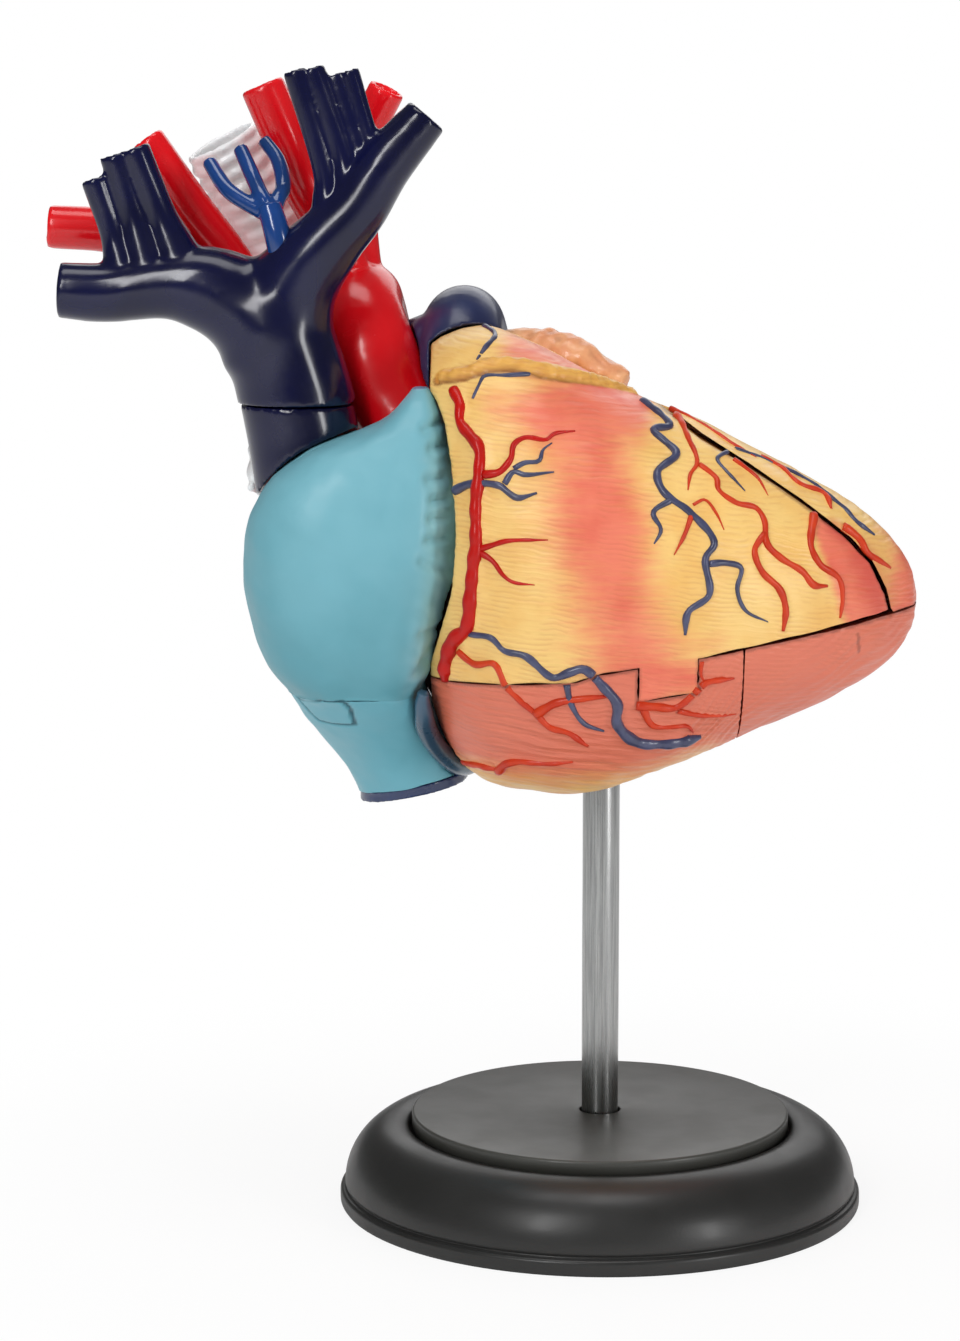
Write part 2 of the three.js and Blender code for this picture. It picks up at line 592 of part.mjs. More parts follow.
// The part to the left of the seam between the two ventricle walls.
function beforeFrontSeam(gap, back) {
  const [topX, topZ] = FRONT_SEAM[1];
  const [endX, endZ] = FRONT_SEAM.at(-1);
  const slope = Math.atan2(topZ - endZ, endX - topX);
  const shift = ([x, z]) => [x + gap * Math.sin(slope), z + gap * Math.cos(slope)];
  const seam = FRONT_SEAM.map(shift);
  return prism([[-REACH, seam[0][1]], ...seam, [seam.at(-1)[0], -REACH], [-REACH, -REACH]], -REACH, back);
}

// The height of the chamber's roof at a place along X.
function roofAt(x) {
  const after = VENTRICLE_ROWS.findIndex(([at]) => at > x);
  const [low, high] = [VENTRICLE_ROWS[after - 1], VENTRICLE_ROWS[after]];
  return THREE.MathUtils.lerp(low[2], high[2], (x - low[0]) / (high[0] - low[0])) - VENTRICLE_WALL;
}

// Ventricles: two walls, two floors, the locating pegs and what the chambers hold
function buildVentricles() {
  const outer = ventricleForm();
  const inside = chamber();
  const clearOfRoots = [
    besideAtrium(CLEARANCE),
    leftAtriumForm(CLEARANCE),
    aortaForm(CLEARANCE),
    sinusForm(CLEARANCE),
  ];
  const pegs = PEG_PLACES.map((x) => [x, roofAt(x) - PEG_BOSS_DIAMETER / 4]);
  const pegFront = SPLIT_Y - PEG_LENGTH / 2;
  const pegBack = SPLIT_Y + PEG_LENGTH / 2;
  const along = (radius, grow) => pegs.map(([x, z]) => (
    bar([x, pegFront - grow, z], [x, pegBack + grow, z], radius)
  ));
  const bosses = join(...along(PEG_BOSS_DIAMETER / 2, PEG_BOSS_END)).intersect(outer);
  const shell = cut(join(cut(outer, inside), bosses), ...clearOfRoots);
  const bored = cut(shell, ...along(PEG_DIAMETER / 2 + CLEARANCE, CLEARANCE));
  const upper = cut(
    bored,
    belowSeam(CLEARANCE, -REACH, SPLIT_Y, true),
    belowSeam(CLEARANCE, SPLIT_Y - 1, REACH, false),
  );
  const frontSide = beforeFrontSeam(0, SPLIT_Y - CLEARANCE);
  const ridge = cut(tube(RIDGE), inside, besideAtrium(CLEARANCE)).intersect(frontSide);
  const frontWall = largest(join(upper.intersect(frontSide), ridge));
  const backWall = largest(cut(upper, beforeFrontSeam(CLEARANCE, SPLIT_Y)));

  const socketTop = ROD_IN_HEART + CLEARANCE + SOCKET_ROOF;
  const socket = upright(SOCKET_DIAMETER / 2, -OVERSHOOT, socketTop).intersect(outer);
  const lower = join(
    shell.intersect(belowSeam(0, -REACH, SPLIT_Y, true)),
    shell.intersect(belowSeam(0, SPLIT_Y, REACH, false)),
    socket,
  );
  const bore = upright(ROD_DIAMETER / 2 + CLEARANCE, -2 * OVERSHOOT, ROD_IN_HEART + CLEARANCE);
  const floorGap = CLEARANCE / 2;
  const rightFloor = largest(cut(lower, bore, slab(FLOOR_SPLIT_X - floorGap, REACH)));
  const apexFloor = largest(cut(lower, slab(-REACH, FLOOR_SPLIT_X + floorGap)));

  const clear = chamber(CLEARANCE);
  const opening = ({ y, z, diameter }) => (
    bar([PLATE_X - OVERSHOOT, y, z], [PLATE_X + OVERSHOOT, y, z], diameter / 2, ROUND_SIDES)
  );
  const plate = largest(cut(
    slab(PLATE_X, PLATE_X + PLATE_THICKNESS).intersect(clear),
    ...[TRICUSPID, MITRAL, AORTIC].map(opening),
  ));
  const socketRoom = upright(SOCKET_DIAMETER / 2 + CLEARANCE, -OVERSHOOT, socketTop + CLEARANCE);
  const domeTip = PLATE_X + PLATE_THICKNESS + AORTIC.dome + CLEARANCE;
  const outflow = bar([PLATE_X, AORTIC.y, AORTIC.z], [domeTip, AORTIC.y, AORTIC.z], AORTIC.diameter / 2);
  const septumStart = PLATE_X + PLATE_THICKNESS + CLEARANCE;
  const septum = largest(cut(
    slab(septumStart, REACH, SEPTUM_FRONT, SEPTUM_FRONT + SEPTUM_THICKNESS).intersect(clear),
    socketRoom,
    outflow,
    ...along(PEG_BOSS_DIAMETER / 2 + CLEARANCE, PEG_BOSS_END + CLEARANCE),
  ));
  const funnel = ({ y, z, diameter, throat, length }) => {
    const wide = diameter / 2 - CLEARANCE;
    return turnedAlongX([
      [wide - CUSP_WALL, 0], [wide, 0], [wide, PLATE_THICKNESS], [throat / 2 + CUSP_WALL, length],
      [throat / 2, length], [wide - CUSP_WALL, PLATE_THICKNESS], [wide - CUSP_WALL, 0],
    ], [PLATE_X, y, z]);
  };
  const aorticRadius = AORTIC.diameter / 2 - CLEARANCE;
  const dome = new THREE.EllipseCurve(0, PLATE_THICKNESS, aorticRadius, AORTIC.dome, 0, Math.PI / 2).getPoints(4);
  const aorticValve = turnedAlongX(
    [[0, 0], [aorticRadius, 0], ...dome.map(({ x, y }) => [Math.max(x, 0), y])],
    [PLATE_X, AORTIC.y, AORTIC.z],
  );
  const muscles = PAPILLARY_MUSCLES.map((path) => tube(path).intersect(clear));

  const ventricles = new THREE.Group();
  ventricles.add(
    piece('right_ventricle_front_wall', frontWall, YELLOW_MUSCLE),
    piece('left_ventricle_wall', backWall, YELLOW_MUSCLE),
    piece('right_ventricle_floor', rightFloor, SALMON_MUSCLE),
    piece('apex_floor', apexFloor, SALMON_MUSCLE),
    piece('valve_plate', plate, VALVE_IVORY),
    piece('septum', septum, INNER_MUSCLE),
    piece('tricuspid_valve', funnel(TRICUSPID), VALVE_IVORY),
    piece('mitral_valve', funnel(MITRAL), VALVE_IVORY),
    piece('aortic_valve', aorticValve, VALVE_IVORY),
    ...muscles.map((body, muscle) => piece(`papillary_muscle_${muscle + 1}`, body, INNER_MUSCLE)),
    ...along(PEG_DIAMETER / 2, 0).map((body, peg) => piece(`locating_peg_${peg + 1}`, body, VALVE_IVORY)),
  );
  return ventricles;
}

// Atria, the lower vena cava and the coronary sinus
function buildAtria() {
  const rightInside = loft(
    insetRows(RIGHT_ATRIUM_ROWS, ATRIUM_WALL, [0, ATRIUM_WALL]),
    ALONG_Z,
    { sides: ATRIUM_SIDES, power: 2.8, from: RIGHT_ATRIUM_ROWS[0][0] - OVERSHOOT },
  );
  const [svcX, svcY, svcBottom] = SVC_LOWER[0];
  const doorBottom = svcBottom - 2 * OVERSHOOT;
  const doorTop = SVC_JOINT_Z + 2 * OVERSHOOT;
  const svcDoor = upright(SPIGOT_DIAMETER / 2, doorBottom, doorTop, svcX, svcY);
  const door = ({ y, z, diameter }) => (
    bar([PLATE_X - DOOR_REACH, y, z], [PLATE_X + PLATE_THICKNESS, y, z], diameter / 2 - DOOR_INSET)
  );
  const right = cut(rightAtriumForm(), rightInside, svcDoor, door(TRICUSPID), aortaForm(CLEARANCE));
  const rightFront = largest(right.intersect(slab(-REACH, REACH, -REACH, ATRIUM_SPLIT_Y - CLEARANCE)));
  const rightBack = largest(right.intersect(slab(-REACH, REACH, ATRIUM_SPLIT_Y, REACH)));

  const leftInside = loft(
    insetRows(LEFT_ATRIUM_ROWS, ATRIUM_WALL),
    ALONG_Z,
    { sides: ATRIUM_SIDES, power: 2.6 },
  );
  const rightPulmonary = tube(RIGHT_PULMONARY, { grow: CLEARANCE });
  const left = largest(cut(
    leftAtriumForm(),
    leftInside,
    door(MITRAL),
    aortaForm(CLEARANCE),
    rightPulmonary,
    rightAtriumForm(CLEARANCE),
  ));

  const ventricles = ventricleForm(CLEARANCE);
  const bottom = IVC_ROWS[0][0];
  const top = IVC_ROWS.at(-1)[0];
  const ivcInside = ivcForm(IVC_WALL, bottom - OVERSHOOT, top + OVERSHOOT);
  const ivcOutside = cut(ivcForm(0, bottom, top), belowMouth(0));
  const ivc = largest(cut(ivcOutside, ivcInside, ventricles, sinusForm(CLEARANCE)));
  const linerBottom = bottom - LINER_SHOWN;
  const linerTop = linerBottom + LINER_DEPTH;
  const linerInset = IVC_WALL + CLEARANCE;
  const liner = cut(
    ivcForm(linerInset, linerBottom, linerTop),
    ivcForm(linerInset + LINER_WALL, linerBottom - OVERSHOOT, linerTop + OVERSHOOT),
    belowMouth(LINER_SHOWN),
    ventricles,
  );

  const atria = new THREE.Group();
  atria.add(
    piece('right_atrium_front', rightFront, ATRIUM_BLUE),
    piece('right_atrium_back', rightBack, ATRIUM_BLUE),
    piece('left_atrium', left, PINK_ATRIUM),
    piece('inferior_vena_cava', ivc, ATRIUM_BLUE),
    piece('ivc_liner', largest(liner), NAVY_VEIN),
    piece('coronary_sinus', sinusForm(), STEEL_BLUE_VEIN),
  );
  return atria;
}

// Great arteries
function buildArteries() {
  const aorta = cut(aortaForm(), mouth(AORTA));
  const aortaRoom = aortaForm(CLEARANCE);
  const ventricles = ventricleForm(CLEARANCE);
  const brachiocephalic = join(tube(BRACHIOCEPHALIC), tube(RIGHT_CAROTID));
  const pulmonary = cut(pulmonaryForm(), mouth(PULMONARY), ventricles, aortaRoom);
  const rightPulmonary = cut(vessel(RIGHT_PULMONARY), pulmonaryForm(CLEARANCE), aortaRoom, ventricles);
  const subclavianRoom = tube(LEFT_SUBCLAVIAN, { grow: CLEARANCE });
  const arteries = new THREE.Group();
  arteries.add(
    piece('aorta', aorta, ARTERY_RED),
    piece(
      'brachiocephalic_artery',
      largest(cut(brachiocephalic, aortaRoom, mouth(BRACHIOCEPHALIC), mouth(RIGHT_CAROTID))),
      ARTERY_RED,
    ),
    piece(
      'left_common_carotid',
      largest(cut(vessel(LEFT_CAROTID), aortaRoom, subclavianRoom, tube(BRACHIOCEPHALIC, { grow: CLEARANCE }))),
      ARTERY_RED,
    ),
    piece('left_subclavian_artery', largest(cut(vessel(LEFT_SUBCLAVIAN), aortaRoom)), ARTERY_RED),
    piece('pulmonary_artery', largest(pulmonary), NAVY_VEIN),
    piece('right_pulmonary_artery', largest(rightPulmonary), NAVY_VEIN),
  );
  return arteries;
}

// Great veins above the heart
function buildVeins() {
  const [jointX, jointY] = SVC_LOWER.at(-1);
  const spigotRadius = SPIGOT_DIAMETER / 2;
  const joint = new THREE.Vector3(jointX, jointY, SVC_JOINT_Z);
  const alongPull = (distance) => joint.clone().addScaledVector(VEIN_PULL, distance).toArray();
  const spigot = bar(alongPull(-SPIGOT_ROOT), alongPull(SPIGOT_LENGTH), spigotRadius, ROUND_SIDES);
  const socketStart = alongPull(-2 * SPIGOT_ROOT);
  const socketEnd = alongPull(SPIGOT_LENGTH + CLEARANCE);
  const socket = bar(socketStart, socketEnd, spigotRadius + CLEARANCE, ROUND_SIDES);
  const above = level(SVC_JOINT_Z, REACH + SVC_JOINT_Z);
  const below = level(SVC_JOINT_Z - REACH, SVC_JOINT_Z + CLEARANCE);
  const stub = largest(cut(join(cut(tube(SVC_LOWER, { sides: 14 }), above), spigot), rightAtriumForm(CLEARANCE)));
  const upper = largest(cut(tube(SVC_UPPER, { sides: 14 }), below, socket));
  const upperRoom = tube(SVC_UPPER, { sides: 14, grow: CLEARANCE });
  const branches = (main, twigs) => cut(
    join(tube(main), ...twigs.map((path) => tube(path, { sides: SMALL_SIDES, steps: 1 }))),
    mouth(main),
    ...twigs.map((path) => mouth(path, TWIG_MOUTH_DEPTH, path.at(-1)[3] * MOUTH_SHARE, TWIG_SIDES)),
  );
  const right = largest(cut(branches(RIGHT_VEIN, RIGHT_NECK_VEINS), upperRoom));
  const leftRoom = tube(LEFT_VEIN, { grow: CLEARANCE });
  const rightRoom = tube(RIGHT_VEIN, { grow: CLEARANCE });
  const left = largest(cut(branches(LEFT_VEIN, LEFT_NECK_VEINS), upperRoom, rightRoom));
  const prongs = THYROID_PRONGS.map((path) => tube(path, { sides: TWIG_SIDES, steps: 1 }));
  const thyroid = largest(cut(join(tube(THYROID_TRUNK, { sides: SMALL_SIDES }), ...prongs), upperRoom, leftRoom));
  const veins = new THREE.Group();
  veins.add(
    piece('svc_stub', stub, NAVY_VEIN),
    piece('svc_upper', upper, NAVY_VEIN),
    piece('right_brachiocephalic_vein', right, NAVY_VEIN),
    piece('left_brachiocephalic_vein', left, NAVY_VEIN),
    piece('thyroid_veins', thyroid, THYROID_BLUE),
  );
  return veins;
}

// Windpipe, the vessels behind the heart and the left auricle
function buildBack() {
  const aortaRoom = aortaForm(CLEARANCE);
  const atriumRoom = leftAtriumForm(CLEARANCE);
  const windpipeBore = mouth([...TRACHEA].reverse(), TRACHEA_BORE_DEPTH, TRACHEA_BORE / 2, VESSEL_SIDES);
  const rightPulmonaryRoom = tube(RIGHT_PULMONARY, { grow: CLEARANCE });
  const windpipe = cut(tracheaForm(), windpipeBore, aortaRoom, rightPulmonaryRoom);
  const tracheaRoom = tracheaForm(CLEARANCE);
  const veinRooms = Object.values(PULMONARY_VEINS).map((path) => tube(path, { grow: CLEARANCE }));
  const rightBronchus = cut(vessel(RIGHT_BRONCHUS), tracheaRoom, rightPulmonaryRoom, ...veinRooms);
  const leftBronchus = cut(
    vessel(LEFT_BRONCHUS),
    tracheaRoom,
    tube(RIGHT_BRONCHUS, { grow: CLEARANCE }),
    atriumRoom,
    aortaRoom,
    ...veinRooms,
  );
  const auricle = cut(
    tube(LEFT_AURICLE),
    ventricleForm(CLEARANCE),
    pulmonaryForm(CLEARANCE),
    atriumRoom,
    aortaRoom,
    slab(-REACH, REACH, -REACH, SPLIT_Y),
  );
  const back = new THREE.Group();
  back.add(
    piece('trachea', largest(windpipe), CARTILAGE),
    piece('right_bronchus', largest(rightBronchus), CARTILAGE),
    piece('left_bronchus', largest(leftBronchus), CARTILAGE),
    piece('left_auricle', largest(auricle), AURICLE_BROWN),
    ...Object.entries(PULMONARY_VEINS).map(([name, path]) => (
      piece(name, largest(cut(vessel(path), atriumRoom)), ARTERY_RED)
    )),
  );
  return back;
}

const heart = new THREE.Group();
heart.position.z = HEART_HEIGHT;
heart.add(buildVentricles(), buildAtria(), buildArteries(), buildVeins(), buildBack());

const model = new THREE.Group();
model.add(buildStand(), heart);

export default model;
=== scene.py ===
"""Looks of the take-apart heart on its stand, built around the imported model.

Shapes are worked out in millimetres and turned into metres when a piece is finished. X runs to the
right, Y to the back and Z up. Heights on the heart count from the top of the rod that shows.
"""
import logging
import math
from dataclasses import dataclass
from enum import Enum

import bmesh
import bpy
import numpy as np
from mathutils import Matrix, Vector
from mathutils.bvhtree import BVHTree
from mathutils.kdtree import KDTree


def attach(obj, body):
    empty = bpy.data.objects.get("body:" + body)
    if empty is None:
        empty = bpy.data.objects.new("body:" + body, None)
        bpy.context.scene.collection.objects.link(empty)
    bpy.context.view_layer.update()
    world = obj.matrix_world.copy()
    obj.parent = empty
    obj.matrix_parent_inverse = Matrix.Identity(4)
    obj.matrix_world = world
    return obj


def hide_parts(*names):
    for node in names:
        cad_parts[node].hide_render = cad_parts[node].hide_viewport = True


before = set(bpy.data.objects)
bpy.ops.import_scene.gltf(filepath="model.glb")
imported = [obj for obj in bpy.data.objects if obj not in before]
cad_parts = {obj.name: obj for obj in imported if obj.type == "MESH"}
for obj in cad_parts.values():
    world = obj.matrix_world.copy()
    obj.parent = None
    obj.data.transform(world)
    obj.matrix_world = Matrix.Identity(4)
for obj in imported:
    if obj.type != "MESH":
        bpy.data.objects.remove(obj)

LOG = logging.getLogger("heart")
MM = 0.001
HEART_HEIGHT = 70.0
CLEARANCE = 0.3
REACH = 90.0
SHARP_ANGLE = 35.0
HEART_MIDDLE = Vector((0.0, -15.0, 35.0))
WHITE = (1.0, 1.0, 1.0, 1.0)

Row = tuple[float, ...]
Path = tuple[Row, ...]
Point = tuple[float, float, float]
Pixels = tuple[tuple[float, float], ...]
Outline = list[tuple[float, float]]
Solid = bmesh.types.BMesh
Socket = bpy.types.NodeSocket


class Body(Enum):
    """The bodies that pieces ride on."""

    STAND = "stand"
    ROD = "rod"
    CORE = "heart_core"
    FRONT_WALL = "front_wall"
    ATRIUM_FRONT = "atrium_front"
    VEIN_TREE = "vein_tree"


class Slot(Enum):
    """The record's material slots."""

    BLACK = "black_plastic"
    GREY = "grey_plastic"
    STEEL = "steel"
    YELLOW = "yellow_muscle"
    SALMON = "salmon_muscle"
    INNER = "inner_muscle"
    IVORY = "valve_ivory"
    ATRIUM = "atrium_blue"
    NAVY = "navy_vein"
    VEIN = "vein_blue"
    ARTERY = "artery_red"
    PINK = "pink_atrium"
    AURICLE = "auricle_brown"
    CARTILAGE = "cartilage"


Finish = tuple[Slot, bpy.types.Material]


class Axis(Enum):
    """Which way a form's stations run."""

    X = 0
    Z = 2


class Cut(Enum):
    """How a tool works on a blank."""

    ADD = "UNION"
    REMOVE = "DIFFERENCE"
    KEEP = "INTERSECT"


# Numbers on lines and surfaces


def smoothstep(low: float, high: float, values: np.ndarray) -> np.ndarray:
    """Rises smoothly from 0 at low to 1 at high."""
    share = np.clip((values - low) / (high - low), 0.0, 1.0)
    return share * share * (3.0 - 2.0 * share)


def line_distance(places: np.ndarray, line: np.ndarray) -> np.ndarray:
    """Measures how far places lie from a line of points.

    Args:
        places: One place in each row, in as many directions as the line has.
        line: The line's points in order.

    Returns:
        The distance of each place to the nearest point of the line.
    """
    nearest = np.full(len(places), np.inf)
    for start, end in zip(line[:-1], line[1:]):
        along = end - start
        share = np.clip((places - start) @ along / max(float(along @ along), 1e-9), 0.0, 1.0)
        gap = places - start - share[:, None] * along
        nearest = np.minimum(nearest, np.sqrt((gap * gap).sum(axis=1)))
    return nearest


def ripple(places: np.ndarray, pitch: float, slope: float | np.ndarray, wander: float) -> np.ndarray:
    """Makes fine, nearly level ridges that wander as a sculptor's tool does.

    Args:
        places: One place in each row, in millimetres.
        pitch: The distance between ridges.
        slope: How much the ridges fall towards the right.
        wander: How far the ridges stray from straight.

    Returns:
        A height from -1 to 1 at each place.
    """
    x, y, z = places.T
    stray = np.sin(x * 0.31 + 1.3 * np.sin(z * 0.23) + 0.4 * y) + 0.7 * np.sin(x * 0.13 - z * 0.11 + 0.2 * y)
    level = z + slope * x + wander * stray
    fine = np.sin(2.0 * math.pi * level / pitch)
    second = np.sin(2.0 * math.pi * level / (pitch * 1.37) + 1.1 + 0.3 * x)
    strength = 0.65 + 0.35 * np.sin(x * 0.21 + z * 0.17 + 2.0 * np.sin(z * 0.09))
    return (0.7 * fine + 0.3 * second) * strength


def lumps(places: np.ndarray, pitch: float) -> np.ndarray:
    """Makes soft rounded lumps, from about -1 to 1, a pitch apart in every direction."""
    turn = 2.0 * math.pi / pitch
    x, y, z = (places * turn).T
    first = np.sin(x + 0.9 * np.sin(0.7 * z + 0.4)) * np.sin(y + 0.8 * np.sin(0.6 * x))
    second = np.sin(z + 1.1 * np.sin(0.5 * y + 1.0)) * np.sin(0.8 * x + 0.6 * z)
    return 0.6 * first + 0.6 * second


def smooth_points(path: Path, steps: int) -> list[list[float]]:
    """Runs a smooth centripetal curve through the rows of a path.

    Args:
        path: Rows that start with x, y and z; what follows them, such as a radius, is smoothed too.
        steps: The number of points between two rows.

    Returns:
        Rows of the same length along the curve.
    """
    rows = [np.array(row, float) for row in path]
    rows = [2 * rows[0] - rows[1], *rows, 2 * rows[-1] - rows[-2]]
    made = []
    for before, start, end, after in zip(rows, rows[1:], rows[2:], rows[3:]):
        lengths = [
            max(float(np.linalg.norm((b - a)[:3])) ** 0.5, 1e-4)
            for a, b in ((before, start), (start, end), (end, after))
        ]
        first, middle, last = lengths
        leave = (start - before) / first - (end - before) / (first + middle) + (end - start) / middle
        reach = (end - start) / middle - (after - start) / (middle + last) + (after - end) / last
        for step in range(steps):
            t = step / steps
            t2, t3 = t * t, t * t * t
            made.append(
                (2 * t3 - 3 * t2 + 1) * start
                + (t3 - 2 * t2 + t) * middle * leave
                + (3 * t2 - 2 * t3) * end
                + (t3 - t2) * middle * reach
            )
    made.append(rows[-2])
    return [[float(value) for value in row] for row in made]


# Solids


def skin(rings: list[np.ndarray]) -> Solid:
    """Draws a closed skin over rings of points, from a circle that is extruded ring by ring.

    Args:
        rings: Rings with the same number of points each.

    Returns:
        The closed body with its faces pointing out.
    """
    bm = bmesh.new()
    place_in_ring = bm.verts.layers.int.new("place")
    bmesh.ops.create_circle(bm, cap_ends=True, segments=len(rings[0]), radius=1.0)
    for place, vert in enumerate(bm.verts):
        vert[place_in_ring] = place
        vert.co = rings[0][place]
    edges = list(bm.edges)
    for ring in rings[1:]:
        made = bmesh.ops.extrude_edge_only(bm, edges=edges)["geom"]
        verts = {item for item in made if isinstance(item, bmesh.types.BMVert)}
        for vert in verts:
            vert.co = ring[vert[place_in_ring]]
        edges = [
            item
            for item in made
            if isinstance(item, bmesh.types.BMEdge) and item.verts[0] in verts and item.verts[1] in verts
        ]
    bmesh.ops.edgeloop_fill(bm, edges=edges)
    bmesh.ops.recalc_face_normals(bm, faces=bm.faces)
    return bm


def merged(bodies: list[Solid]) -> Solid:
    """Puts several bodies into one mesh, without joining their walls."""
    whole = bmesh.new()
    for body in bodies:
        part = bpy.data.meshes.new("part")
        body.to_mesh(part)
        body.free()
        whole.from_mesh(part)
        bpy.data.meshes.remove(part)
    return whole


def tube(path: Path, sides: int = 48, steps: int = 8, grow: float = 0.0) -> Solid:
    """Makes a round tube along the smooth curve of a path.

    Args:
        path: Rows of x, y, z and radius.
        sides: The number of points round the tube.
        steps: The number of rings between two rows.
        grow: How much fatter and longer the tube is than its rows say.

    Returns:
        The closed tube.
    """
    rows = smooth_points(path, steps)
    centres = [Vector(row[:3]) for row in rows]
    last = len(centres) - 1
    angles = [2.0 * math.pi * side / sides for side in range(sides)]
    across = Vector((0.0, 1.0, 0.0))
    rings = []
    for index, centre in enumerate(centres):
        along = (centres[min(index + 1, last)] - centres[max(index - 1, 0)]).normalized()
        if index == 0:
            if abs(along.y) > 0.9:
                across = Vector((1.0, 0.0, 0.0))
            centre = centre - along * grow
        if index == last:
            centre = centre + along * grow
        across = (across - along * across.dot(along)).normalized()
        up = along.cross(across)
        radius = rows[index][3] + grow
        ring = [centre + across * (radius * math.cos(a)) + up * (radius * math.sin(a)) for a in angles]
        rings.append(np.array(ring))
    return skin(rings)


def room_for(path: Path, sides: int = 40, steps: int = 6) -> Solid:
    """Makes the space that a vessel takes, with its clearance."""
    return tube(path, sides, steps, grow=CLEARANCE)


def bar(start: Point | Vector, end: Point | Vector, radius: float, sides: int = 32) -> Solid:
    """Makes a straight round bar between two points."""
    return tube(((*start, radius), (*end, radius)), sides=sides, steps=1)


def flared(path: Path) -> Path:
    """Widens the root of a twig, so that it grows out of its trunk."""
    root, second = np.array(path[0], float), np.array(path[1], float)
    near, neck = root.copy(), root + 0.62 * (second - root)
    near[3], neck[3] = near[3] * 1.8, neck[3] * 1.28
    return (tuple(near), tuple(neck), *path[1:])


def end_of(path: Path) -> tuple[Vector, Vector]:
    """Gives the last point of a path's smooth curve and the direction it leaves in."""
    rows = smooth_points(path, 8)
    tip = Vector(rows[-1][:3])
    return tip, (tip - Vector(rows[-2][:3])).normalized()


def mouth(path: Path, depth: float = 1.2, share: float = 0.68) -> Solid:
    """Makes the cutter for the shallow hollow at a vessel's far end."""
    tip, along = end_of(path)
    return bar(tip - along * depth, tip + along * 2.0, path[-1][3] * share)


def prism(outline: Outline, front: float = -REACH, back: float = REACH) -> Solid:
    """Extrudes an outline of x and z points from the front to the back."""
    bm = bmesh.new()
    face = bm.faces.new([bm.verts.new((x, front, z)) for x, z in outline])
    made = bmesh.ops.extrude_face_region(bm, geom=[face])["geom"]
    verts = [item for item in made if isinstance(item, bmesh.types.BMVert)]
    bmesh.ops.translate(bm, verts=verts, vec=(0.0, back - front, 0.0))
    bmesh.ops.recalc_face_normals(bm, faces=bm.faces)
    return bm


def slab(left: float, right: float, front: float = -REACH, back: float = REACH) -> Solid:
    """Makes everything between two places along X, and between a front and a back."""
    return prism([(left, -REACH), (right, -REACH), (right, 2 * REACH), (left, 2 * REACH)], front, back)


def level(bottom: float, top: float) -> Solid:
    """Makes everything between two heights."""
    return prism([(-REACH, bottom), (REACH, bottom), (REACH, top), (-REACH, top)])


def turned(profile: Outline, steps: int = 128) -> Solid:
    """Spins a profile of r and z points, from axis to axis, round Z."""
    bm = bmesh.new()
    verts = [bm.verts.new((r, 0.0, z)) for r, z in profile]
    edges = [bm.edges.new(pair) for pair in zip(verts, verts[1:])]
    turn = {"cent": (0.0, 0.0, 0.0), "axis": (0.0, 0.0, 1.0), "angle": 2.0 * math.pi, "steps": steps}
    bmesh.ops.spin(bm, geom=verts + edges, use_merge=True, **turn)
    bmesh.ops.remove_doubles(bm, verts=bm.verts, dist=1e-4)
    bmesh.ops.recalc_face_normals(bm, faces=bm.faces)
    return bm


def arc(centre: Row, radii: Row, start: float, end: float, steps: int = 10) -> Outline:
    """Gives points on a quarter or other stretch of an ellipse, with its angles in degrees."""
    angles = np.radians(np.linspace(start, end, steps + 1))
    return [(centre[0] + radii[0] * math.cos(a), centre[1] + radii[1] * math.sin(a)) for a in angles]


